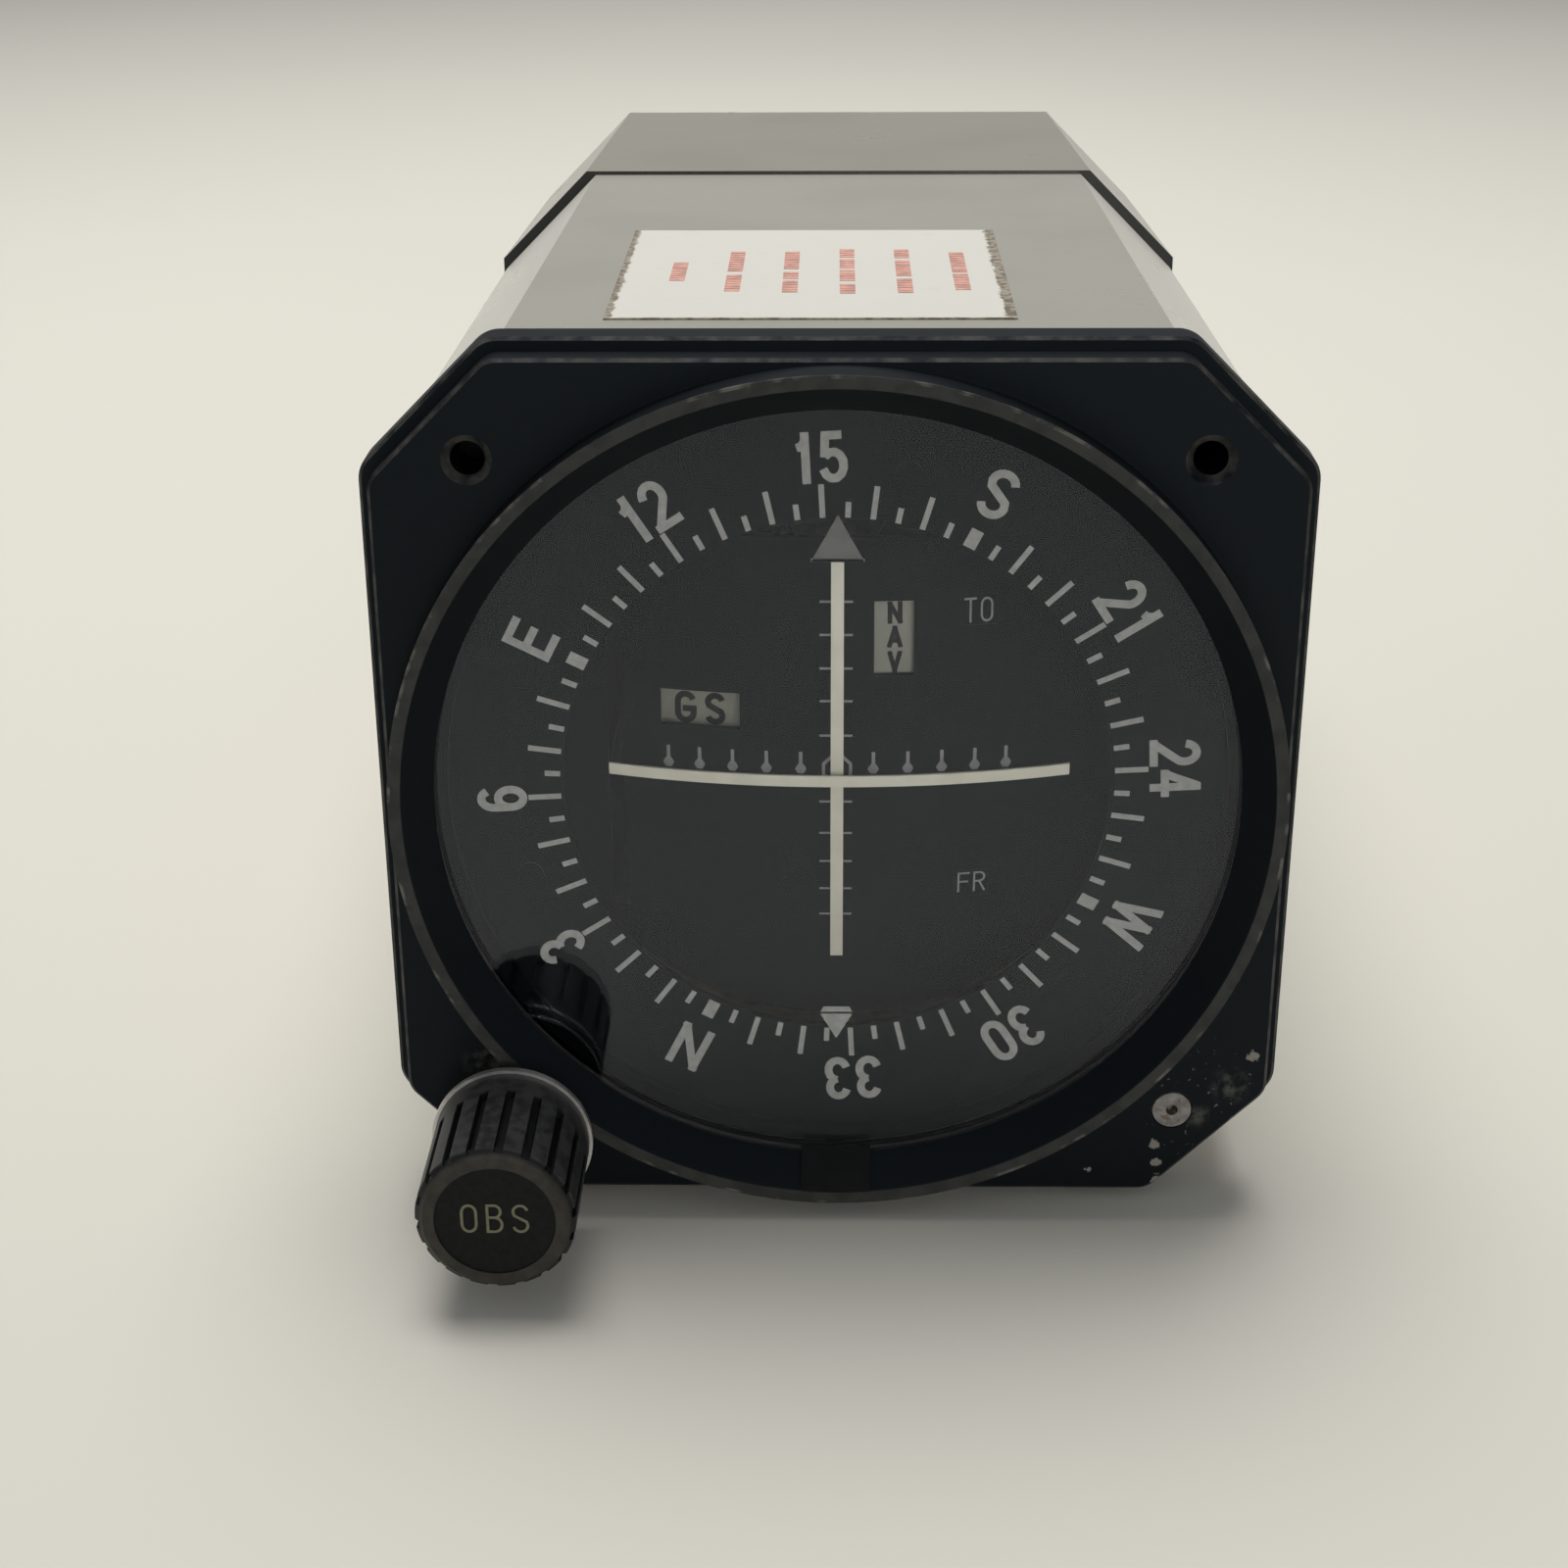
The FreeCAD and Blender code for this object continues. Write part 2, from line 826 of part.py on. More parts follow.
# Domed mask
def make_mask():
    cap = disc(mask_edge_radius, 0, main_plate_front).common(shell_of(mask_radius - mask_wall, mask_radius))
    skirt_front = mask_edge_y - mask_wall / 4
    skirt = ring(mask_edge_radius - mask_wall, mask_edge_radius, skirt_front, main_plate_front)
    mask = fused([cap, skirt.common(ball(mask_radius))])
    for window in (nav_window, gs_window, to_window, from_window):
        mask = mask.cut(through_box(window))
    arc = slot_half_length
    wide = slot_half_width
    mask = mask.cut(through_box((-arc, arc, loc_arm_height - wide, loc_arm_height + wide)))
    return mask.cut(through_box((-gs_arm_offset - wide, -gs_arm_offset + wide, -arc, arc)))


def through_box(window, grow=0.0):
    x0, x1, z0, z1 = window
    return box(x0 - grow, x1 + grow, 0, main_plate_back, z0 - grow, z1 + grow)


def make_lenses():
    wall = shell_of(mask_radius - mask_wall, mask_radius)
    return group([wall.common(through_box(w, -0.02)) for w in (to_window, from_window)])


write("dial_mask", make_mask())
write("to_from_lenses", make_lenses())


# Meter movements: built with the pivot along Z, then put in place
def meter_yoke():
    body = Part.makeCylinder(yoke_radius, 2 * yoke_half_length, vec(0, 0, -yoke_half_length))
    foot_back = meter_plate_front - meter_y
    foot = box(-yoke_bore + 1, yoke_bore - 1, 0, foot_back, -yoke_half_length + 1, yoke_half_length - 1)
    body = body.fuse(foot)
    body = body.cut(Part.makeCylinder(yoke_bore, 4 * bar_level, vec(0, 0, -2 * bar_level)))
    for side in (-1, 1):
        low, high = sorted((side * (yoke_half_length - 0.5), side * bar_level))
        for leg in (-1, 1):
            x0, x1 = sorted((leg * (yoke_bore + 0.2), leg * yoke_radius))
            body = body.fuse(
                box(x0, x1, -yoke_bar_half_width, yoke_bar_half_width, low, high)
            )
        low, high = sorted((side * bar_level, side * (bar_level + yoke_bar_thickness)))
        bar = box(
            -yoke_radius, yoke_radius, -yoke_bar_half_width, yoke_bar_half_width, low, high
        )
        hole = Part.makeCylinder(jewel_radius, yoke_bar_thickness, vec(0, 0, low))
        body = body.fuse(bar.cut(hole))
    return body.removeSplitter()


def meter_core():
    core = Part.makeCylinder(core_radius, 2 * core_half_length, vec(0, 0, -core_half_length))
    pin = Part.makeCylinder(core_pin_radius, 2 * yoke_bore, vec(0, -yoke_bore, 0), vec(0, 1, 0))
    inside = Part.makeCylinder(yoke_bore, 2 * yoke_bore, vec(0, 0, -yoke_bore))
    return core.fuse(pin.common(inside)).removeSplitter()


def meter_jewels():
    screws = []
    for side in (-1, 1):
        inner = bar_level - 0.1
        outer = bar_level + yoke_bar_thickness + 0.6
        start = vec(0, 0, side * inner)
        screw = Part.makeCylinder(jewel_radius, outer - inner, start, vec(0, 0, side))
        cup = Part.makeCylinder(staff_radius + running_clearance, 1.2, start, vec(0, 0, side))
        screws.append(screw.cut(cup))
    return screws


def meter_coil():
    outer = box(
        -coil_half_width, coil_half_width, -coil_wire, coil_wire, -coil_half_height, coil_half_height
    )
    width = coil_half_width - coil_wire
    height = coil_half_height - coil_wire
    coil = outer.cut(box(-width, width, -coil_wire, coil_wire, -height, height))
    return fused([coil] + staffs())


def staffs():
    start = coil_half_height - coil_wire / 2
    length = bar_level + 0.5 - start
    return [
        Part.makeCylinder(staff_radius, length, vec(0, 0, side * start), vec(0, 0, side))
        for side in (-1, 1)
    ]


def meter_arm(reach):
    hub = Part.makeCylinder(hub_radius, hub_length, vec(0, 0, arm_level - hub_length / 2))
    rod = Part.makeCylinder(
        arm_radius, reach + tail_length, vec(0, -reach, arm_level), vec(0, 1, 0)
    )
    start = vec(0, tail_length - counterweight_length, arm_level)
    weight = Part.makeCylinder(counterweight_radius, counterweight_length, start, vec(0, 1, 0))
    bore = Part.makeCylinder(staff_radius, 2 * hub_length, vec(0, 0, arm_level - hub_length))
    return fused([hub, rod, weight]).cut(bore)


def place_loc(shape):
    placed = shape.copy()
    placed.translate(vec(0, meter_y, loc_arm_height - arm_level))
    return placed


def place_gs(shape):
    placed = shape.copy()
    placed.rotate(vec(0, 0, 0), vec(0, 1, 0), -90)
    placed.translate(vec(arm_level - gs_arm_offset, meter_y, 0))
    return placed


def make_loc_needle():
    top = loc_arm_height + loc_needle_half_width
    strip = box(
        -loc_needle_half_width, loc_needle_half_width, 0, sphere_y, loc_needle_bottom, top
    )
    return shell_of(loc_sphere, loc_sphere + needle_thickness).common(strip)


def make_gs_needle():
    strip = box(
        gs_needle_left, gs_needle_right, 0, sphere_y, -gs_needle_half_height, gs_needle_half_height
    )
    return shell_of(gs_sphere, gs_sphere + needle_thickness).common(strip)


write("loc_needle", make_loc_needle())
write("gs_needle", make_gs_needle())
write("loc_arm", place_loc(meter_arm(loc_sphere)).common(ball(loc_sphere)))
write("gs_arm", place_gs(meter_arm(gs_sphere)).common(ball(gs_sphere)))
write("loc_coil", place_loc(meter_coil()))
write("gs_coil", place_gs(meter_coil()))
write("meter_yokes", group([place_loc(meter_yoke()), place_gs(meter_yoke())]))
write("meter_magnets", group([place_loc(meter_core()), place_gs(meter_core())]))
write("pivot_jewels", group([place(s) for place in (place_loc, place_gs) for s in meter_jewels()]))


# Flags: each a sheet on its own sphere, with a tube and a magnet rotor on one post
def flag_sheet(order, patch, angle, reach):
    outer = mask_radius - mask_wall - flag_gap - order * flag_pitch
    inner = outer - flag_thickness
    strip = box(0, reach, 0, main_plate_back + 5, -flag_strip_half_width, flag_strip_half_width)
    strip.rotate(vec(0, 0, 0), vec(0, 1, 0), -angle)
    hub = disc(flag_hub_radius, 0, main_plate_back)
    outline = fused([patch, strip, hub])
    sheet = outline.common(shell_of(inner, outer))
    sheet = sheet.cut(disc(tube_radius(order), 0, main_plate_back))
    return fused([sheet, flag_rotor(order, sphere_y - (inner + outer) / 2)])


def tube_radius(order):
    return post_radius + running_clearance + order * (tube_wall + running_clearance)


def flag_rotor(order, tube_front):
    inner = tube_radius(order)
    wall = inner + tube_wall
    start = rotor_front + (2 - order) * rotor_pitch
    return turned(
        [
            (inner, tube_front),
            (wall, tube_front),
            (wall, start),
            (rotor_radius, start),
            (rotor_radius, start + rotor_length),
            (inner, start + rotor_length),
        ]
    )


def flag_coil(order):
    start = rotor_front + (2 - order) * rotor_pitch
    return ring(flag_coil_bore, flag_coil_radius, start, start + rotor_length)


def window_middle(window):
    x0, x1, z0, z1 = window
    return (x0 + x1) / 2, (z0 + z1) / 2


def window_flag(order, window):
    x, z = window_middle(window)
    patch = through_box(window, window_overlap)
    return flag_sheet(order, patch, math.degrees(math.atan2(z, x)), math.hypot(x, z))


def make_to_from_vane():
    size = to_from_patch_half
    middle = to_from_patch_radius
    patch = box(middle - size, middle + size, 0, main_plate_back + 5, -size, size)
    return flag_sheet(2, patch, 0.0, middle)


def make_bridge():
    back = bridge_front + plate_wall
    can_radius = flag_coil_radius + flag_can_wall
    parts = [
        disc(can_radius, bridge_front, back),
        ring(flag_coil_radius, can_radius, rotor_front - 0.4, bridge_front),
    ]
    for angle in bridge_post_angles:
        arm = box(
            0,
            bridge_post_circle,
            bridge_front,
            back,
            -bridge_half_width,
            bridge_half_width,
        )
        arm.rotate(vec(0, 0, 0), vec(0, 1, 0), -angle)
        x, z = at_angle(bridge_post_circle, angle)
        parts += [arm, disc(bridge_half_width, bridge_front, back, x, z)]
    bridge = fused(parts).cut(disc(post_radius, bridge_front, back))
    for angle in bridge_post_angles:
        x, z = at_angle(bridge_post_circle, angle)
        bridge = bridge.cut(disc(small_screw_radius, bridge_front, back, x, z))
    return bridge


def make_bridge_posts():
    posts = []
    for angle in bridge_post_angles:
        x, z = at_angle(bridge_post_circle, angle)
        post = disc(bridge_post_radius, main_plate_back, bridge_front, x, z)
        posts.append(post.cut(disc(small_screw_radius, bridge_front - 4, bridge_front, x, z)))
    return posts


def make_bridge_screws():
    back = bridge_front + plate_wall
    screws = []
    for angle in bridge_post_angles:
        x, z = at_angle(bridge_post_circle, angle)
        shank = disc(small_screw_radius, bridge_front - 3.5, back, x, z)
        head = disc(small_head_radius, back, back + small_head_height, x, z)
        screws.append(fused([shank, head]))
    return screws


write("nav_flag", window_flag(0, nav_window))
write("gs_flag", window_flag(1, gs_window))
write("to_from_vane", make_to_from_vane())
write("flag_coils", group([flag_coil(order) for order in range(3)]))
post_front = sphere_y - (mask_radius - mask_wall - 0.1)
write("flag_post", disc(post_radius, post_front, bridge_front + plate_wall))
write("flag_bridge", make_bridge())


# Chassis plates and standoffs
def chassis_plate(front, size):
    back = front + plate_wall
    plate = size(front, back)
    for x, z in rods:
        plate = plate.cut(disc(stud_radius + stud_clearance, front, back, x, z))
    return plate


def case_plate(front, back):
    return case_octagon(front, back, case_wall + plate_gap)


def neck_plate(front, back):
    return case_octagon(front, back, neck_inset + case_wall + plate_gap)


def make_main_plate():
    plate = chassis_plate(main_plate_front, case_plate)
    plate = plate.cut(disc(main_plate_hole, main_plate_front, main_plate_back))
    bush = countershaft_radius + running_clearance + bush_wall
    return plate.cut(disc(bush, main_plate_front, main_plate_back, idler_x, idler_z))


def make_meter_plate():
    plate = chassis_plate(meter_plate_front, case_plate)
    hole = countershaft_radius + meter_plate_shaft_gap
    plate = plate.cut(disc(hole, meter_plate_front, meter_plate_back, idler_x, idler_z))
    return plate.cut(disc(resolver_boss_radius, meter_plate_front, meter_plate_back))


def make_resolver_plate():
    plate = chassis_plate(resolver_plate_front, neck_plate)
    plate = plate.cut(disc(resolver_boss_radius, resolver_plate_front, resolver_plate_back))
    bush = countershaft_radius + running_clearance + bush_wall
    return plate.cut(disc(bush, resolver_plate_front, resolver_plate_back, idler_x, idler_z))


def standoffs(front, back, stud_back):
    """Four round standoffs, each with a stud ahead and a tapped hole behind."""
    posts = []
    for x, z in rods:
        post = disc(rod_radius, front, back, x, z)
        hole = stud_length + 2 * stud_clearance
        post = post.cut(disc(stud_radius + stud_clearance, back - hole, back, x, z))
        posts.append(fused([post, disc(stud_radius, front - stud_back, front, x, z)]))
    return posts


write("main_plate", make_main_plate())
write("meter_plate", make_meter_plate())
write("resolver_plate", make_resolver_plate())
stud_reach = plate_wall + stud_length
write(
    "standoffs",
    group(
        standoffs(rim_back, main_plate_front, stud_length)
        + standoffs(main_plate_back, meter_plate_front, stud_reach)
        + standoffs(meter_plate_back, resolver_plate_front, stud_reach)
        + standoffs(resolver_plate_back, cover_inner_rear, stud_reach)
        + make_bridge_posts()
    ),
)


# Lamps
def make_lamps():
    lamps = []
    for angle in lamp_angles:
        x, z = at_angle(lamp_circle, angle)
        back = main_plate_front - lamp_base_length
        bulb = disc(lamp_radius, back - lamp_length, back, x, z)
        bulb = bulb.makeChamfer(lamp_radius * 0.5, edges_at(bulb, back - lamp_length))
        base = disc(lamp_base_radius, back, main_plate_front, x, z)
        lamps.append(fused([bulb, base]))
    return group(lamps)


write("lamps", make_lamps())


# Countershaft and resolver
def idler_gear(front):
    points = gear_points(idler_teeth, idler_tooth, idler_x, idler_z)
    gear = prism(points, front, front + gear_width - 2 * gear_clear)
    return gear.cut(disc(countershaft_radius, front, front + gear_width, idler_x, idler_z))


def make_bushes():
    inner = countershaft_radius + running_clearance
    outer = inner + bush_wall
    bushes = []
    for front, flange_side in ((main_plate_front, 1), (resolver_plate_front, -1)):
        back = front + plate_wall
        barrel = ring(inner, outer, front, back, idler_x, idler_z)
        edge = back if flange_side > 0 else front - bush_flange
        flange = ring(inner, outer + bush_flange, edge, edge + bush_flange, idler_x, idler_z)
        bushes.append(fused([barrel, flange]))
    return group(bushes)


def make_resolver_gear():
    back = resolver_gear_front + gear_width
    points = gear_points(ring_teeth, ring_tooth)
    blank = prism(points, resolver_gear_front, back)
    inside = ring_pitch - dedendum - gear_rim
    web_front = resolver_gear_front + gear_web
    pocket = ring(gear_hub_radius, inside, web_front, back)
    gear = blank.cut(pocket)
    for hole in range(lightening_holes):
        x, z = at_angle(lightening_circle, 360 / lightening_holes * hole + lightening_turn)
        gear = gear.cut(disc(lightening_radius, resolver_gear_front, back, x, z))
    return gear.cut(disc(resolver_shaft_radius, resolver_gear_front, back))


def make_resolver():
    front = resolver_plate_back
    body = disc(resolver_radius, front, front + resolver_length)
    body = body.makeChamfer(resolver_edge, edges_at(body, front + resolver_length))
    boss = disc(resolver_boss_radius, resolver_plate_front, front)
    body = fused([body, boss])
    bore = resolver_shaft_radius + running_clearance
    bore_back = front + resolver_shaft_tail + resolver_bore_end
    return body.cut(disc(bore, resolver_plate_front, bore_back))


write(
    "countershaft",
    disc(countershaft_radius, gear_front, resolver_plate_back, idler_x, idler_z),
)
write("idler_gears", group([idler_gear(y + gear_clear) for y in (gear_front, resolver_gear_front)]))
write("countershaft_bushes", make_bushes())
write("resolver_gear", make_resolver_gear())
write(
    "resolver_shaft",
    disc(
        resolver_shaft_radius,
        resolver_gear_front - resolver_shaft_lead,
        resolver_plate_back + resolver_shaft_tail,
    ),
)
write("resolver", make_resolver())


# Circuit boards
def board_place(share):
    """The (y, z) of a place given as shares of the side board's length and half height."""
    along, up = share
    return board_front + along * (board_rear - board_front), up * board_half_height


def make_board_parts():
    inner = board_outer - board_thickness
    parts = []
    for places, length, height, rise in (
        (chip_places, chip_length, chip_height, chip_rise),
        (coil_block_places, coil_block, coil_block, coil_block_rise),
        (socket_places, socket_length, socket_height, socket_rise),
    ):
        for y, z in map(board_place, places):
            parts.append(
                box(
                    inner - rise,
                    inner,
                    y - length / 2,
                    y + length / 2,
                    z - height / 2,
                    z + height / 2,
                )
            )
    for y, z in map(board_place, capacitor_places):
        start = vec(inner - capacitor_rise, y, z)
        parts.append(Part.makeCylinder(capacitor_radius, capacitor_rise, start, vec(1, 0, 0)))
    return group(parts)


def make_boards():
    side = box(
        board_outer - board_thickness,
        board_outer,
        board_front,
        board_rear,
        -board_half_height,
        board_half_height,
    )
    half = rear_board_half
    back = cover_inner_rear - rear_board_gap
    return group([side, box(-half, half, back - board_thickness, back, -half, half)])


write("circuit_boards", make_boards())
write("board_parts", make_board_parts())


# Rear connector and screws
def make_connector():
    tip = rear_y + connector_length
    inside = cover_inner_rear - connector_inner_length
    barrel = disc(connector_radius, inside, tip)
    half = connector_flange_half
    flange = box(-half, half, rear_y, rear_y + connector_flange_thickness, -half, half)
    flange = flange.makeFillet(2.0, edges_along_y(flange))
    shell = fused([barrel, flange]).cut(disc(connector_radius - connector_wall, inside, tip))
    for x, z in connector_screw_places():
        shell = shell.cut(
            disc(small_screw_radius, rear_y, rear_y + connector_flange_thickness, x, z)
        )
    return shell


def contact_places():
    rings = ((1, 0.0), (inner_contacts, contact_circle / 2), (outer_contacts, contact_circle))
    return [
        at_angle(circle, 360 / count * place) for count, circle in rings for place in range(count)
    ]


def make_contacts():
    back = rear_y + connector_length - insert_recess
    front = cover_inner_rear - rear_board_gap
    return group([disc(contact_radius, front, back, x, z) for x, z in contact_places()])


def make_insert():
    front = cover_inner_rear - connector_inner_length
    back = rear_y + connector_length - insert_recess
    insert = disc(connector_radius - connector_wall, front, back)
    for x, z in contact_places():
        insert = insert.cut(disc(contact_radius, front, back, x, z))
    return insert


def make_connector_screws():
    head_front = rear_y + connector_flange_thickness
    screws = []
    for x, z in connector_screw_places():
        shank = disc(small_screw_radius, cover_inner_rear, head_front, x, z)
        head = disc(small_head_radius, head_front, head_front + small_head_height, x, z)
        screws.append(fused([shank, head]))
    return screws


def make_rear_screws():
    screws = []
    for x, z in rods:
        shank = disc(stud_radius, cover_inner_rear - stud_length, rear_y, x, z)
        head = disc(rear_head_radius, rear_y, rear_y + rear_head_height, x, z)
        head = head.makeChamfer(0.4, edges_at(head, rear_y + rear_head_height))
        head = head.cut(
            box(
                x - rear_head_radius,
                x + rear_head_radius,
                rear_y + rear_head_height - 0.6,
                rear_y + rear_head_height,
                z - 0.35,
                z + 0.35,
            )
        )
        screws.append(fused([shank, head]))
    return group(screws)


write("connector_shell", make_connector())
write("connector_insert", make_insert())
write("connector_contacts", make_contacts())
write("small_screws", group(make_connector_screws() + make_bridge_screws()))
write("rear_screws", make_rear_screws())


# Knob, shaft, bushing and pinion
def flute_cutters(front, rear, depth):
    cutter = box(
        knob_radius - depth,
        knob_radius + 1,
        front,
        rear,
        -flute_half_width,
        flute_half_width,
    )
    cutters = []
    for place in range(knob_flutes):
        turn = 360 / knob_flutes * (place + flute_phase)
        copy = cutter.copy()
        copy.rotate(vec(0, 0, 0), vec(0, 1, 0), turn)
        copy.translate(vec(knob_x, 0, knob_z))
        cutters.append(copy)
    return group(cutters)


def make_knob():
    """A fluted body; the flutes run on as shallow notches to the front edge."""
    body = disc(knob_radius, knob_front, knob_body_rear, knob_x, knob_z)
    body = body.makeChamfer(knob_front_chamfer, edges_at(body, knob_front))
    body = body.cut(disc(cap_radius, knob_front, knob_front + cap_recess, knob_x, knob_z))
    body = body.cut(disc(shaft_radius, shaft_front, knob_body_rear, knob_x, knob_z))
    flute_front = knob_front + flute_front_land
    body = body.cut(flute_cutters(flute_front, knob_body_rear - flute_rear_land, flute_depth))
    body = body.cut(flute_cutters(knob_front, flute_front, notch_depth))
    for direction in set_screw_directions():
        start = vec(knob_x, set_screw_y, knob_z)
        body = body.cut(Part.makeCylinder(set_screw_radius, knob_radius + 1, start, direction))
    return body


def set_screw_directions():
    return vec(0, 0, -1), vec(-1, 0, 0)


def make_set_screws():
    screws = []
    shaft = disc(shaft_radius, shaft_front, knob_rear, knob_x, knob_z)
    depth = set_screw_socket_depth
    for direction in set_screw_directions():
        start = vec(knob_x, set_screw_y, knob_z)
        length = shaft_radius + set_screw_length
        screw = Part.makeCylinder(set_screw_radius, length, start, direction)
        socket_start = start + direction * (length - depth)
        socket = Part.makeCylinder(set_screw_radius / 2, depth, socket_start, direction)
        screws.append(screw.cut(shaft).cut(socket))
    return group(screws)


def make_shaft():
    seat = disc(pinion_seat_radius, pinion_front, gear_back + shaft_tail, knob_x, knob_z)
    return fused([disc(shaft_radius, shaft_front, pinion_front, knob_x, knob_z), seat])


def make_bushing():
    bore = shaft_radius + running_clearance
    back = pinion_front - running_clearance
    return turned(
        [
            (bore, bushing_front),
            (bushing_radius, bushing_front),
            (bushing_radius, rim_back),
            (bushing_head_radius, rim_back),
            (bushing_head_radius, back),
            (bore, back),
        ],
        knob_x,
        knob_z,
    )


def make_bushing_nut():
    reach = spotface_radius - nut_corner_gap
    corners = [at_angle(reach, 60 * side) for side in range(6)]
    nut = prism([(x + knob_x, z + knob_z) for x, z in corners], bushing_front, spotface_depth)
    return nut.cut(disc(bushing_radius, bushing_front, spotface_depth, knob_x, knob_z))


def make_pinion():
    gear = prism(gear_points(pinion_teeth, pinion_tooth, knob_x, knob_z), pinion_front, gear_back)
    return gear.cut(disc(pinion_seat_radius, pinion_front, gear_back, knob_x, knob_z))


cap_back = knob_front + cap_recess
base_radius = knob_radius + knob_base_lip
write("obs_knob", make_knob())
write("obs_knob_cap", disc(cap_radius, cap_back - cap_thickness, cap_back, knob_x, knob_z))
write("obs_knob_base", ring(shaft_radius, base_radius, knob_body_rear, knob_rear, knob_x, knob_z))
write("knob_set_screws", make_set_screws())
write("obs_shaft", make_shaft())
write("obs_bushing", make_bushing())
write("bushing_nut", make_bushing_nut())
write("obs_pinion", make_pinion())
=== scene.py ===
import json
import math

import bpy
from mathutils import Matrix, Vector


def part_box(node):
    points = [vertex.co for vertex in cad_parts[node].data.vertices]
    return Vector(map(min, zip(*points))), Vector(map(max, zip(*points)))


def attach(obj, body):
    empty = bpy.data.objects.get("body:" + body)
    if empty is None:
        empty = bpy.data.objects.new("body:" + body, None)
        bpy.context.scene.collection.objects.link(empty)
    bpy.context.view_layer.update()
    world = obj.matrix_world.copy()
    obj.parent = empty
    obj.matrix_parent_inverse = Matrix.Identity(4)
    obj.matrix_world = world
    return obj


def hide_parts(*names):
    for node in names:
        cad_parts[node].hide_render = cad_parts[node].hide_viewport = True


# The looks of a course deviation indicator. Metres, +Z up, the viewer at -Y.
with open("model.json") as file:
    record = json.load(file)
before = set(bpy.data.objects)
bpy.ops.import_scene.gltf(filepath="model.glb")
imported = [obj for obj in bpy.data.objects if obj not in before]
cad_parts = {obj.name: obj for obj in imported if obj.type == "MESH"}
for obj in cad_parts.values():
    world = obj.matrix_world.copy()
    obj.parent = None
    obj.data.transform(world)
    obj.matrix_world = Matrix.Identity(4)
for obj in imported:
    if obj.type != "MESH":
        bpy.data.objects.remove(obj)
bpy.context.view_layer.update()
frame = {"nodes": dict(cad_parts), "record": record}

mm = 0.001

# Photograph: pixels of a 1600 x 1600 frame, angles in degrees
image_size = 1600
focal_pixels = 2638.5
sensor_width = 36.0
camera_place = Vector((-0.289, -211.026, 92.5)) * mm
camera_yaw = -1.201
camera_pitch = 23.275
camera_roll = -0.327

# Dial
dome_radius = 70.0 * mm
dome_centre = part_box("dial_mask")[0].y + dome_radius
card_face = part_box("compass_card")[0].y
card_reading = 153.0
tick_start = 25.1 * mm
tick_width = 0.5 * mm
long_tick = 3.0 * mm
short_tick = 1.4 * mm
cardinal_block = (1.15 * mm, 1.75 * mm)
numeral_circle = 30.5 * mm
numeral_height = 4.6 * mm
numeral_weight = 0.74 * mm
numeral_gap = 0.45 * mm
numerals = ("N", "3", "6", "E", "12", "15", "S", "21", "24", "W", "30", "33")
paint_thickness = 0.04 * mm
paint_lift = 0.015 * mm
layer_step = 0.003 * mm
scale_line = 0.2 * mm
loc_tick_places = (3.28, 6.56, 9.60, 12.65, 15.60)
loc_tick_span = (-1.6 * mm, 1.4 * mm)
gs_dot_places = (3.33, 6.49, 9.61, 12.66, 15.55)
gs_dot_radius = 0.52 * mm
gs_dot_line = 0.32 * mm
gs_dot_stem = 1.65 * mm
centre_ring_radius = 1.5 * mm
top_index_height = 4.3 * mm
bottom_index_height = 2.6 * mm
bottom_index_half_width = 1.5 * mm
bottom_bar_gap = 0.2 * mm
bottom_bar_height = 0.55 * mm
index_edge = 0.3 * mm
index_gap = 0.02 * mm

# Words on the mask, the flags and the knob
mask_word_places = {"TO": (12.78 * mm, 14.53 * mm), "FR": (12.70 * mm, -12.45 * mm)}
mask_word_height = 2.2 * mm
mask_word_weight = 0.19 * mm
mask_word_gap = 0.35 * mm
nav_flag_sphere = 68.7 * mm
nav_letters_x = 5.22 * mm
nav_letters_z = {"N": 14.16 * mm, "A": 12.0 * mm, "V": 9.70 * mm}
nav_letter_height = 1.98 * mm
nav_letter_weight = 0.43 * mm
gs_flag_sphere = 67.8 * mm
gs_letters_x = {"G": -14.0 * mm, "S": -11.25 * mm}
gs_letters_z = 4.62 * mm
gs_letter_height = 3.1 * mm
gs_letter_weight = 0.58 * mm
knob_word_lift = 0.25 * mm
knob_word_height = 2.9 * mm
knob_word_weight = 0.25 * mm
knob_word_gap = 0.75 * mm

# Bezel: where the window ring is worn, chips as (x, z, size) in millimetres,
# smears of dust as (x, z, outer reach, inner reach) in millimetres
ring_front = -3.3 * mm
ring_land_radius = 38.35 * mm
ring_rim_radius = 39.2 * mm
plate_radius = 39.7 * mm
soft_edge = 0.2 * mm
chip_wobble = 1.3 * mm
chip_places = (
    (30.0, -35.2, 0.55),
    (30.2, -37.1, 0.5),
    (30.4, -39.0, 0.65),
    (38.6, -25.7, 0.6),
    (23.9, -38.0, 0.3),
    (-39.2, 37.0, 0.5),
)
speck_place = (35.0 * mm, 0.0, -31.0 * mm)
speck_reach = (8.0 * mm, 3.0 * mm)
smear_places = (
    (36.8, -28.8, 2.4, 0.2),
    (33.9, -32.0, 1.6, 0.2),
    (-32.6, -27.0, 2.8, 0.4),
)

# Case: a rusty stain at the front left and painted shade in the seam
stain_place = (-26.2 * mm, 9.0 * mm, 38.8 * mm)
stain_reach = (6.0 * mm, 1.5 * mm)
seam_shade_band = (0.7 * mm, 0.1 * mm)
far_behind = 1.0

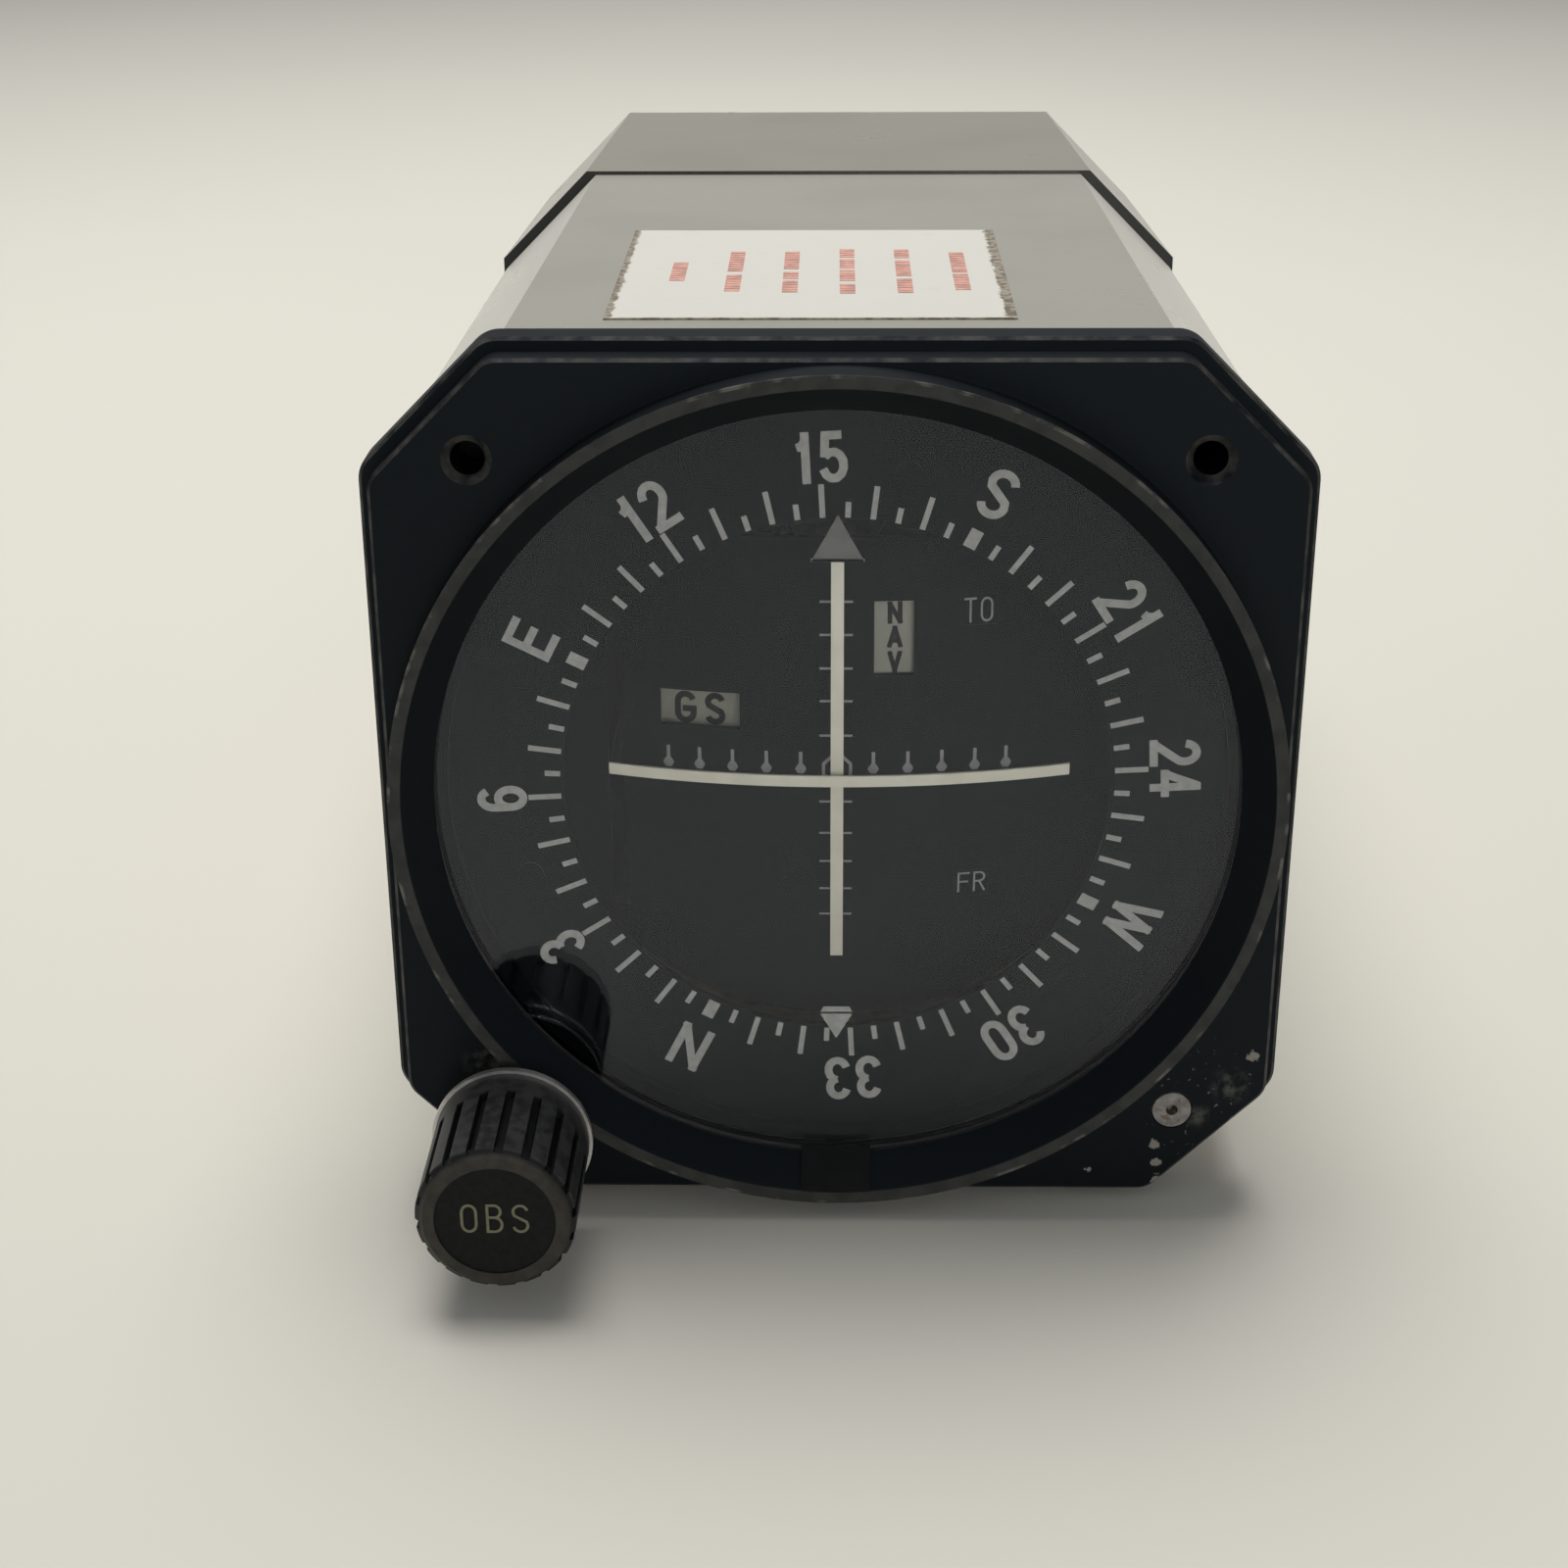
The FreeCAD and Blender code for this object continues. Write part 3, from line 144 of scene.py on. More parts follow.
# Label
label_thickness = 0.15 * mm
label_line = 1.45 * mm
label_run_gap = 1.0 * mm
label_letter = 0.85 * mm
label_letter_gap = 0.22 * mm
label_first_line = 1.05
label_spare_lines = 0.85
label_runs = [
    [length * mm for length in runs]
    for runs in (
        (9.0,),
        (8.0, 9.5),
        (5.0, 3.5, 9.0),
        (4.5, 5.0, 4.0, 4.0),
        (6.5, 7.5, 4.0),
        (7.0, 9.5),
    )
]

# Floor
floor_size = 8.0
rim_inset = 3.0 * mm
case_underside = -38.75 * mm

# Light: place, aim, size, power, spread in degrees and colour of each lamp
lamps = {
    "ceiling": ((-0.07, 0.36, 1.12), (-0.05, 0.24, 0.0), 0.9, 4.6, 90.0, (1.0, 0.98, 0.95)),
    "front": ((0.25, -1.5, 0.34), (0.0, 0.0, 0.0), 0.5, 0.34, 40.0, (1.0, 0.98, 0.94)),
}
room_light = 0.28
room_colour = (0.92, 0.95, 1.0, 1.0)


# Materials: one graph of nodes for each, with short calls for the nodes used here
class Graph:
    def __init__(self, name):
        self.material = bpy.data.materials.new(name)
        self.material.use_nodes = True
        self.tree = self.material.node_tree
        self.tree.nodes.clear()
        self.output = self.tree.nodes.new("ShaderNodeOutputMaterial")
        self.shader = self.tree.nodes.new("ShaderNodeBsdfPrincipled")
        self.tree.links.new(self.shader.outputs["BSDF"], self.output.inputs["Surface"])
        self.place = self.tree.nodes.new("ShaderNodeTexCoord").outputs["Object"]
        split = self.tree.nodes.new("ShaderNodeSeparateXYZ")
        self.tree.links.new(self.place, split.inputs[0])
        self.x, self.y, self.z = split.outputs

    def feed(self, socket, value):
        if isinstance(value, bpy.types.NodeSocket):
            self.tree.links.new(value, socket)
        else:
            socket.default_value = value

    def set(self, name, value):
        self.feed(self.shader.inputs[name], value)

    def noise(self, scale, detail=3.0, stretch=(1.0, 1.0, 1.0)):
        mapping = self.tree.nodes.new("ShaderNodeMapping")
        mapping.inputs["Scale"].default_value = [scale * s for s in stretch]
        self.tree.links.new(self.place, mapping.inputs["Vector"])
        node = self.tree.nodes.new("ShaderNodeTexNoise")
        node.inputs["Scale"].default_value = 1.0
        node.inputs["Detail"].default_value = detail
        self.tree.links.new(mapping.outputs["Vector"], node.inputs["Vector"])
        return node.outputs["Fac"]

    def ramp(self, value, low, high):
        """0 below low, 1 above high, smooth between; low may be the larger."""
        node = self.tree.nodes.new("ShaderNodeMapRange")
        node.interpolation_type = "SMOOTHSTEP"
        self.feed(node.inputs["Value"], value)
        node.inputs["From Min"].default_value = low
        node.inputs["From Max"].default_value = high
        return node.outputs["Result"]

    def math(self, operation, a, b=0.0):
        node = self.tree.nodes.new("ShaderNodeMath")
        node.operation = operation
        self.feed(node.inputs[0], a)
        self.feed(node.inputs[1], b)
        return node.outputs[0]

    def times(self, *values):
        result = values[0]
        for value in values[1:]:
            result = self.math("MULTIPLY", result, value)
        return result

    def either(self, *values):
        result = values[0]
        for value in values[1:]:
            result = self.math("MAXIMUM", result, value)
        return result

    def mix(self, share, a, b):
        node = self.tree.nodes.new("ShaderNodeMix")
        node.data_type = "RGBA"
        self.feed(node.inputs["Factor"], share)
        self.feed(node.inputs[6], a)
        self.feed(node.inputs[7], b)
        return node.outputs[2]

    def level(self, share, a, b):
        """A number that goes from a to b with share."""
        return self.math("ADD", self.math("MULTIPLY", share, b - a), a)

    def distance(self, centre):
        node = self.tree.nodes.new("ShaderNodeVectorMath")
        node.operation = "DISTANCE"
        self.tree.links.new(self.place, node.inputs[0])
        node.inputs[1].default_value = centre
        return node.outputs["Value"]

    def radius(self, x=0.0, z=0.0):
        """The distance from a line along Y."""
        across = self.math("SUBTRACT", self.x, x)
        up = self.math("SUBTRACT", self.z, z)
        squares = self.math("ADD", self.times(across, across), self.times(up, up))
        return self.math("SQRT", squares)

    def normal(self, axis):
        """How far the surface looks along an axis: -1 to 1."""
        node = self.tree.nodes.new("ShaderNodeNewGeometry")
        split = self.tree.nodes.new("ShaderNodeSeparateXYZ")
        self.tree.links.new(node.outputs["Normal"], split.inputs[0])
        return split.outputs["XYZ".index(axis)]

    def facing(self, axis):
        """How squarely the surface faces along an axis: 0 to 1."""
        return self.math("ABSOLUTE", self.normal(axis))

    def inward(self):
        """1 on faces that look towards the middle of the object, such as a case's inside."""
        node = self.tree.nodes.new("ShaderNodeNewGeometry")
        dot = self.tree.nodes.new("ShaderNodeVectorMath")
        dot.operation = "DOT_PRODUCT"
        self.tree.links.new(node.outputs["Normal"], dot.inputs[0])
        self.tree.links.new(self.place, dot.inputs[1])
        return self.ramp(dot.outputs["Value"], 0.0, -1.0 * mm)

    def bump(self, height, distance, strength=1.0):
        node = self.tree.nodes.new("ShaderNodeBump")
        node.inputs["Strength"].default_value = strength
        node.inputs["Distance"].default_value = distance
        self.feed(node.inputs["Height"], height)
        self.tree.links.new(node.outputs["Normal"], self.shader.inputs["Normal"])


def grey(level, warmth=0.0):
    return (level * (1 + warmth), level, level * (1 - warmth), 1.0)


def plain(name, colour, roughness, grain=600.0, spread=0.12, relief=0.01, gloss=0.5):
    """A finish with a fine uneven grain in colour, gloss and relief."""
    g = Graph(name)
    fine = g.noise(grain)
    darker = tuple(c * (1 - spread) for c in colour[:3]) + (1.0,)
    lighter = tuple(min(1.0, c * (1 + spread)) for c in colour[:3]) + (1.0,)
    g.set("Base Color", g.mix(g.ramp(fine, 0.3, 0.7), darker, lighter))
    g.set("Roughness", g.level(fine, roughness - 0.06, roughness + 0.06))
    g.set("Specular IOR Level", gloss)
    if relief:
        g.bump(g.noise(grain * 3), relief * mm)
    return g.material


def brushed(name, colour, roughness, stretch=(1.0, 12.0, 1.0)):
    """Metal with fine lines from machining and a little tarnish."""
    g = Graph(name)
    lines = g.noise(2500.0, 2.0, stretch)
    tarnish = g.ramp(g.noise(350.0), 0.45, 0.75)
    dull = tuple(c * 0.6 for c in colour[:3]) + (1.0,)
    g.set("Base Color", g.mix(tarnish, colour, dull))
    g.set("Metallic", 1.0)
    g.set("Roughness", g.level(lines, roughness - 0.1, roughness + 0.12))
    g.bump(lines, 0.01 * mm)
    return g.material


def plate_material():
    """Brushed aluminium plates, near black and dull on the side towards the dial: painted shade
    where the dial's slots show them.
    """
    g = Graph("plate_aluminium")
    # The faces towards the dial are painted near black: painted shade behind the dial's slots.
    front = g.ramp(g.normal("Y"), -0.5, -0.9)
    lines = g.noise(2500.0, 2.0, (1.0, 1.0, 10.0))
    g.set("Base Color", g.mix(front, grey(0.7), grey(0.01)))
    g.set("Metallic", g.math("SUBTRACT", 1.0, front))
    g.set("Roughness", g.either(g.level(lines, 0.32, 0.54), g.times(front, 0.8)))
    g.bump(lines, 0.01 * mm)
    return g.material


def bezel_material():
    """Satin black paint: worn to grey on the window ring's front, chipped near two corners."""
    g = Graph("black_paint")
    radius = g.radius()
    mottle = g.noise(520.0, 5.0)
    patchy = g.level(g.ramp(mottle, 0.35, 0.62), 0.7, 1.0)
    slope = g.facing("Y")
    edge = g.times(g.ramp(slope, 0.5, 0.62), g.ramp(slope, 0.9, 0.8))
    outside = g.ramp(radius, plate_radius, plate_radius + soft_edge)
    plate_edge = g.times(edge, outside, g.ramp(mottle, 0.3, 0.7), 0.18)
    front = g.ramp(g.y, ring_front, ring_front - 0.15 * mm)
    land = g.ramp(radius, ring_land_radius, ring_land_radius + 0.15 * mm)
    land = g.times(land, front, patchy, 0.13)
    rim = g.times(
        g.ramp(radius, ring_rim_radius, ring_rim_radius + soft_edge),
        g.ramp(g.y, ring_front + soft_edge, ring_front),
        g.ramp(g.noise(330.0, 5.0), 0.46, 0.66),
        0.4,
    )
    wobble = g.times(g.math("SUBTRACT", g.noise(1900.0, 4.0), 0.5), chip_wobble)
    chips = []
    for x, z, size in chip_places:
        ragged = g.math("ADD", g.distance((x * mm, 0.0, z * mm)), wobble)
        chips.append(g.ramp(ragged, size * mm, size * 0.7 * mm))
    specks = g.times(
        g.ramp(g.noise(1500.0, 6.0), 0.64, 0.69), g.ramp(g.distance(speck_place), *speck_reach), 0.5
    )
    smears = [
        g.ramp(g.distance((x * mm, 0.0, z * mm)), outer * mm, inner * mm)
        for x, z, outer, inner in smear_places
    ]
    smears = g.times(g.either(*smears), g.ramp(g.noise(900.0, 5.0), 0.38, 0.66), 0.22)
    worn = g.either(plate_edge, land, rim, g.times(g.either(*chips), 0.7), specks, smears)
    dust = g.times(g.ramp(g.noise(5200.0, 2.0), 0.72, 0.78), 0.15)
    dark_paint = (0.0022, 0.0030, 0.0040, 1.0)
    light_paint = (0.0040, 0.0052, 0.0064, 1.0)
    paint = g.mix(dust, g.mix(g.noise(900.0), dark_paint, light_paint), grey(0.08))
    g.set("Base Color", g.mix(worn, paint, (0.30, 0.285, 0.25, 1.0)))
    g.set("Roughness", g.level(g.noise(260.0), 0.40, 0.52))
    g.set("Specular IOR Level", 0.16)
    g.set("Specular Tint", (0.72, 0.87, 1.0, 1.0))
    g.bump(g.noise(2600.0, 4.0), 0.02 * mm, 0.5)
    return g.material


def case_material(name, colour, painted_lit_sides, seam):
    """Light grey enamel with handling marks, specks of dirt and a rusty stain, paler on the sides
    and chamfers than on the top as painted light, with painted shade in the seam and near black
    inside as painted shade.
    """
    g = Graph(name)
    cloud = g.noise(55.0, 4.0)
    # The top and bottom keep the darker colour and every other face takes the paler one: painted
    # light on the sides and chamfers.
    top = g.ramp(g.facing("Z"), 0.84, 0.96)
    clouded = tuple(c * 0.82 for c in colour)
    base = g.mix(g.times(g.ramp(cloud, 0.4, 0.75), 0.45), colour, clouded)
    base = g.mix(top, painted_lit_sides, base)
    base = g.mix(g.times(g.ramp(g.noise(1400.0), 0.64, 0.72), 0.12), base, grey(0.12))
    lines = g.noise(210.0, 3.0, (0.2, 3.0, 1.0))
    scratches = g.times(g.ramp(lines, 0.70, 0.72), g.ramp(g.noise(60.0), 0.5, 0.65), 0.5)
    base = g.mix(scratches, base, grey(0.16, 0.1))
    # A dark band just in front of the rear cover's edge: painted shade in the seam.
    dirt = g.times(g.ramp(g.y, seam - seam_shade_band[0], seam - seam_shade_band[1]), 0.7)
    base = g.mix(dirt, base, grey(0.07, 0.08))
    near = g.ramp(g.distance(stain_place), *stain_reach)
    rust = g.times(near, g.ramp(g.noise(700.0, 5.0), 0.46, 0.6))
    base = g.mix(rust, base, (0.13, 0.085, 0.045, 1.0))
    # Faces inside the case are painted near black: painted shade.
    g.set("Base Color", g.mix(g.inward(), base, grey(0.008)))
    g.set("Roughness", g.either(g.level(cloud, 0.24, 0.34), g.times(rust, 0.9)))
    g.bump(g.noise(2200.0, 3.0), 0.012 * mm, 0.5)
    return g.material


def glass_material(name, node, tint, bend):
    """Clear glass with a blackened edge, which lets lamp light straight through."""
    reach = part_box(node)[1].x
    g = Graph(name)
    edge = g.ramp(g.radius(), reach - 0.5 * mm, reach - 0.3 * mm)
    g.set("Base Color", g.mix(edge, tint, grey(0.001)))
    g.set("Roughness", 0.0)
    g.set("IOR", bend)
    g.set("Transmission Weight", g.math("SUBTRACT", 1.0, edge))
    g.set("Specular Tint", (0.86, 0.90, 1.0, 1.0))
    clear = g.tree.nodes.new("ShaderNodeBsdfTransparent")
    path = g.tree.nodes.new("ShaderNodeLightPath")
    chooser = g.tree.nodes.new("ShaderNodeMixShader")
    g.tree.links.new(path.outputs["Is Shadow Ray"], chooser.inputs[0])
    g.tree.links.new(g.shader.outputs["BSDF"], chooser.inputs[1])
    g.tree.links.new(clear.outputs["BSDF"], chooser.inputs[2])
    g.tree.links.new(chooser.outputs["Shader"], g.output.inputs["Surface"])
    return g.material


def knob_material():
    """Black moulded plastic, its ridges and front rim rubbed grey."""
    low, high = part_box("obs_knob")
    x = (low.x + high.x) / 2
    z = (low.z + high.z) / 2
    reach = (high.x - low.x) / 2
    g = Graph("knob_plastic")
    radius = g.radius(x, z)
    rub = g.noise(900.0, 5.0)
    patchy = g.level(g.ramp(rub, 0.35, 0.65), 0.35, 1.0)
    ridge = g.times(g.ramp(radius, reach - 0.2 * mm, reach - 0.02 * mm), patchy, 0.6)
    rim = g.times(
        g.ramp(g.y, low.y + 0.5 * mm, low.y + 0.1 * mm),
        g.ramp(radius, reach - 2.0 * mm, reach - 1.6 * mm),
        g.level(g.ramp(rub, 0.35, 0.65), 0.6, 1.0),
    )
    base = g.mix(rub, (0.0030, 0.0036, 0.0044, 1.0), (0.0065, 0.0072, 0.0080, 1.0))
    base = g.mix(ridge, base, grey(0.05))
    g.set("Base Color", g.mix(rim, base, (0.036, 0.033, 0.027, 1.0)))
    g.set("Roughness", g.level(rub, 0.38, 0.58))
    g.set("Specular IOR Level", 0.22)
    g.bump(g.noise(2600.0), 0.02 * mm, 0.6)
    return g.material


def screw_material():
    """Plated steel with rust in the socket and round the edge."""
    low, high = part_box("corner_screw")
    middle = (low + high) / 2
    g = Graph("bare_steel")
    radius = g.radius(middle.x, middle.z)
    rust_noise = g.noise(1100.0, 5.0)
    rust = g.times(g.ramp(radius, 2.4 * mm, 0.4 * mm), g.ramp(rust_noise, 0.5, 0.62))
    base = g.mix(g.ramp(g.noise(800.0), 0.4, 0.7), grey(0.30, 0.02), grey(0.18, 0.05))
    base = g.mix(g.ramp(g.x, -5.0 * mm, -15.0 * mm), base, grey(0.72, 0.03))
    g.set("Base Color", g.mix(rust, base, (0.10, 0.05, 0.022, 1.0)))
    g.set("Metallic", g.level(rust, 1.0, 0.1))
    g.set("Roughness", g.level(rust_noise, 0.28, 0.5))
    g.bump(rust_noise, 0.03 * mm)
    return g.material


def label_material():
    """Aged white film with brown glue along its sides."""
    low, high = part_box("top_label")
    g = Graph("label_film")
    wobble = g.times(g.math("SUBTRACT", g.noise(900.0, 5.0), 0.5), 1.2 * mm)
    left = g.math("ADD", g.math("SUBTRACT", low.x, g.x), wobble)
    right = g.math("ADD", g.math("SUBTRACT", g.x, high.x), wobble)
    front = g.math("ADD", g.math("SUBTRACT", low.y, g.y), g.times(wobble, 0.4))
    glue = g.either(
        g.ramp(left, -0.75 * mm, -0.45 * mm),
        g.ramp(right, -1.15 * mm, -0.8 * mm),
        g.ramp(front, -0.45 * mm, -0.2 * mm),
    )
    dirt = g.times(g.ramp(g.noise(500.0, 4.0), 0.62, 0.75), 0.12)
    base = g.mix(dirt, (0.60, 0.59, 0.535, 1.0), (0.42, 0.36, 0.27, 1.0))
    pale_glue = (0.30, 0.27, 0.21, 1.0)
    dark_glue = (0.13, 0.105, 0.07, 1.0)
    grime = g.mix(g.ramp(g.noise(1300.0, 4.0), 0.4, 0.6), pale_glue, dark_glue)
    g.set("Base Color", g.mix(glue, base, grime))
    g.set("Roughness", g.level(g.noise(300.0), 0.4, 0.55))
    g.bump(g.noise(700.0), 0.02 * mm, 0.4)
    return g.material


def dial_black(name, level, warmth=0.0):
    return plain(name, grey(level, warmth), 0.6, 1800.0, 0.1, 0.0, 0.02)


materials = {
    "black_paint": bezel_material(),
    "tab_plate": plain("tab_plate", grey(0.006, -0.1), 0.5, spread=0.2, gloss=0.12),
    "bare_steel": screw_material(),
    "window_glass": glass_material("window_glass", "glass", (0.97, 0.985, 0.985, 1.0), 1.38),
    "gasket_rubber": plain("gasket_rubber", grey(0.02), 0.8),
    "clear_acrylic": glass_material(
        "clear_acrylic", "light_wedge", (0.985, 0.985, 0.98, 1.0), 1.03
    ),
    "index_paint": plain("index_paint", grey(0.08, 0.01), 0.6, grain=500.0, spread=0.2),
    "spring_steel": brushed("spring_steel", grey(0.45), 0.35),
    "case_paint": case_material(
        "case_paint",
        (0.335, 0.327, 0.278, 1.0),
        (0.62, 0.605, 0.54, 1.0),
        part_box("rear_cover")[0].y,
    ),
    "cover_paint": case_material(
        "cover_paint", (0.265, 0.257, 0.208, 1.0), (0.52, 0.505, 0.44, 1.0), far_behind
    ),
    "label_film": label_material(),
    "card_black": dial_black("card_black", 0.0028, -0.32),
    "gear_aluminium": brushed("gear_aluminium", grey(0.68), 0.4, (1.0, 1.0, 1.0)),
    "bearing_brass": brushed("bearing_brass", (0.72, 0.5, 0.2, 1.0), 0.32),
    "mask_black": dial_black("mask_black", 0.0030, -0.32),
    "lens_plastic": dial_black("lens_plastic", 0.0032, -0.32),
    "needle_paint": plain("needle_paint", (0.45, 0.435, 0.37, 1.0), 0.5, grain=400.0, spread=0.05),
    "arm_aluminium": plain("arm_aluminium", grey(0.012, -0.1), 0.5, gloss=0.2),
    "coil_wire": brushed("coil_wire", (0.55, 0.2, 0.09, 1.0), 0.38, (1.0, 1.0, 9.0)),
    "soft_iron": brushed("soft_iron", grey(0.28), 0.5),
    "magnet_alloy": brushed("magnet_alloy", grey(0.35), 0.45),
    "flag_paint": plain("flag_paint", (0.135, 0.135, 0.108, 1.0), 0.55, grain=500.0, spread=0.08),
    "plate_aluminium": plate_material(),
    "lamp_glass": plain("lamp_glass", (0.75, 0.72, 0.62, 1.0), 0.12),
    "resolver_case": brushed("resolver_case", grey(0.62), 0.36, (1.0, 14.0, 1.0)),
    "board_green": plain("board_green", (0.02, 0.12, 0.045, 1.0), 0.35, grain=300.0),
    "component_black": plain("component_black", grey(0.015), 0.45),
    "plated_shell": brushed("plated_shell", grey(0.55, 0.02), 0.38, (1.0, 16.0, 1.0)),
    "insert_plastic": plain("insert_plastic", (0.02, 0.03, 0.045, 1.0), 0.4),
    "contact_brass": brushed("contact_brass", (0.83, 0.6, 0.22, 1.0), 0.25),
    "knob_plastic": knob_material(),
    "cap_grey": plain("cap_grey", grey(0.008, -0.05), 0.5, grain=1500.0, spread=0.2, gloss=0.1),
}
for subpart in frame["record"]["subparts"]:
    surface = frame["nodes"][subpart["node"]].data
    surface.materials.clear()
    surface.materials.append(materials[subpart["material_slot"]])
materials.update({
    "dial_white": plain("dial_white", grey(0.23, 0.01), 0.7, grain=1500.0, spread=0.1, gloss=0.2),
    "scale_grey": plain("scale_grey", grey(0.17), 0.7, grain=1500.0, spread=0.1, gloss=0.2),
    "faint_grey": plain("faint_grey", grey(0.16), 0.7, grain=1500.0, gloss=0.2),
    "flag_ink": plain("flag_ink", grey(0.003), 0.6, grain=1500.0, gloss=0.1),
    "knob_letters": plain("knob_letters", (0.13, 0.128, 0.075, 1.0), 0.6, grain=1500.0),
    "red_ink": plain("red_ink", (0.56, 0.30, 0.245, 1.0), 0.6, grain=900.0, spread=0.2),
})


# Painted marks: thin pieces that follow the surface that carries them
def on_card(x, z):
    return card_face


def on_sphere(radius):
    """The front of a sphere round the dial's centre, as a depth for each place."""
    return lambda x, z: dome_centre - math.sqrt(radius * radius - x * x - z * z)


on_dome = on_sphere(dome_radius)


def finish_piece(name, mesh, body, material):
    piece = bpy.data.objects.new(name, mesh)
    bpy.context.scene.collection.objects.link(piece)
    mesh.materials.append(materials[material])
    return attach(piece, body)


def painted(name, outlines, depth, body, material):
    """Thin paint in the shape of (x, z) outlines, laid on a surface.

    A pair of (layer, outline) lies a little higher, so that crossing strokes don't share a face.
    """
    places = []
    faces = []
    for entry in outlines:
        layer, outline = entry if isinstance(entry, tuple) else (0, entry)
        start = len(places)
        count = len(outline)
        for push in (paint_lift + paint_thickness + layer * layer_step, paint_lift):
            places += [(x, depth(x, z) - push, z) for x, z in outline]
        front = list(range(start, start + count))
        back = [i + count for i in front]
        faces += [front, back[::-1]]
        for i in range(count):
            j = (i + 1) % count
            faces.append((front[j], front[i], back[i], back[j]))
    mesh = bpy.data.meshes.new(name)
    mesh.from_pydata(places, [], faces)
    mesh.update()
    return finish_piece(name, mesh, body, material)


def oblong(x0, x1, z0, z1):
    return [(x0, z0), (x1, z0), (x1, z1), (x0, z1)]


def turned(outline, clockwise):
    angle = math.radians(clockwise)
    c = math.cos(angle)
    s = math.sin(angle)
    return [(x * c + z * s, z * c - x * s) for x, z in outline]


def polygon(x, z, radius, sides, start=0.0):
    steps = [math.radians(start) + 2 * math.pi * i / sides for i in range(sides)]
    return [(x + radius * math.cos(a), z + radius * math.sin(a)) for a in steps]


# Letters and figures drawn with strokes, in a box that runs from (0, 0) to (1, 1)
def arc(x, z, width, height, start, end, steps=10):
    angles = [math.radians(start + (end - start) * i / steps) for i in range(steps + 1)]
    return [(x + width * math.cos(a), z + height * math.sin(a)) for a in angles]


bowl = arc(0.5, 0.3, 0.5, 0.3, 180, 540, 20)
tall_ring = arc(0.5, 0.72, 0.5, 0.28, 0, 180) + arc(0.5, 0.28, 0.5, 0.28, 180, 360)
strokes = {
    "0": [tall_ring + tall_ring[:1]],
    "1": [[(0.72, 0.0), (0.72, 1.0)], [(0.72, 0.9), (0.45, 0.77), (0.1, 0.74)]],
    "2": [arc(0.5, 0.72, 0.5, 0.28, 175, -30) + [(0.0, 0.03)], [(-0.05, 0.0), (1.0, 0.0)]],
    "3": [
        arc(0.47, 0.76, 0.47, 0.24, 165, -85),
        arc(0.47, 0.27, 0.5, 0.27, 85, -165),
    ],
    "4": [[(0.72, 0.0), (0.72, 1.0)], [(0.66, 1.0), (0.0, 0.3)], [(-0.05, 0.26), (1.05, 0.26)]],
    "5": [
        [(0.95, 1.0), (0.14, 1.0), (0.06, 0.5)],
        arc(0.48, 0.31, 0.52, 0.31, 140, -165),
    ],
    "6": [bowl, arc(0.5, 0.70, 0.5, 0.30, 30, 180) + [(0.0, 0.3)]],
    "A": [[(0.0, 0.0), (0.5, 1.0)], [(0.5, 1.0), (1.0, 0.0)], [(0.18, 0.28), (0.82, 0.28)]],
    "B": [
        [(0.0, 0.0), (0.0, 1.0)],
        [(0.0, 1.0), (0.5, 1.0)] + arc(0.5, 0.77, 0.42, 0.23, 90, -90) + [(0.0, 0.54)],
        [(0.5, 0.54)] + arc(0.5, 0.27, 0.5, 0.27, 90, -90) + [(0.0, 0.0)],
    ],
    "E": [
        [(0.0, 0.0), (0.0, 1.0)],
        [(0.0, 1.0), (1.0, 1.0)],
        [(0.0, 0.53), (0.9, 0.53)],
        [(0.0, 0.0), (1.0, 0.0)],
    ],
    "F": [[(0.0, 0.0), (0.0, 1.0)], [(0.0, 1.0), (1.0, 1.0)], [(0.0, 0.53), (0.85, 0.53)]],
    "G": [
        arc(0.5, 0.7, 0.5, 0.3, 20, 180) + arc(0.5, 0.3, 0.5, 0.3, 180, 360) + [(1.0, 0.45)],
        [(0.5, 0.45), (1.0, 0.45)],
    ],
    "N": [[(0.0, 0.0), (0.0, 1.0)], [(0.0, 1.0), (1.0, 0.0)], [(1.0, 0.0), (1.0, 1.0)]],
    "O": [tall_ring + tall_ring[:1]],
    "R": [
        [(0.0, 0.0), (0.0, 1.0)],
        [(0.0, 1.0), (0.5, 1.0)] + arc(0.5, 0.76, 0.5, 0.24, 90, -90) + [(0.0, 0.52)],
        [(0.5, 0.52), (1.0, 0.0)],
    ],
    "S": [
        arc(0.5, 0.75, 0.5, 0.25, 15, 180)
        + [(0.08, 0.62), (0.92, 0.38)]
        + arc(0.5, 0.25, 0.5, 0.25, 0, -165)
    ],
    "T": [[(0.0, 1.0), (1.0, 1.0)], [(0.5, 1.0), (0.5, 0.0)]],
    "V": [[(0.0, 1.0), (0.5, 0.0)], [(0.5, 0.0), (1.0, 1.0)]],
    "W": [
        [(0.0, 1.0), (0.26, 0.0)],
        [(0.26, 0.0), (0.5, 0.95)],
        [(0.5, 0.95), (0.74, 0.0)],
        [(0.74, 0.0), (1.0, 1.0)],
    ],
}


def clipped(outline, level, side):
    """What is left of an outline below (side 1) or above (side -1) a level."""
    kept = []
    for i, (x, z) in enumerate(outline):
        x0, z0 = outline[i - 1]
        inside = side * (z - level) <= 0
        if inside != (side * (z0 - level) <= 0):
            share = (level - z0) / (z - z0)
            kept.append((x0 + share * (x - x0), level))
        if inside:
            kept.append((x, z))
    return kept


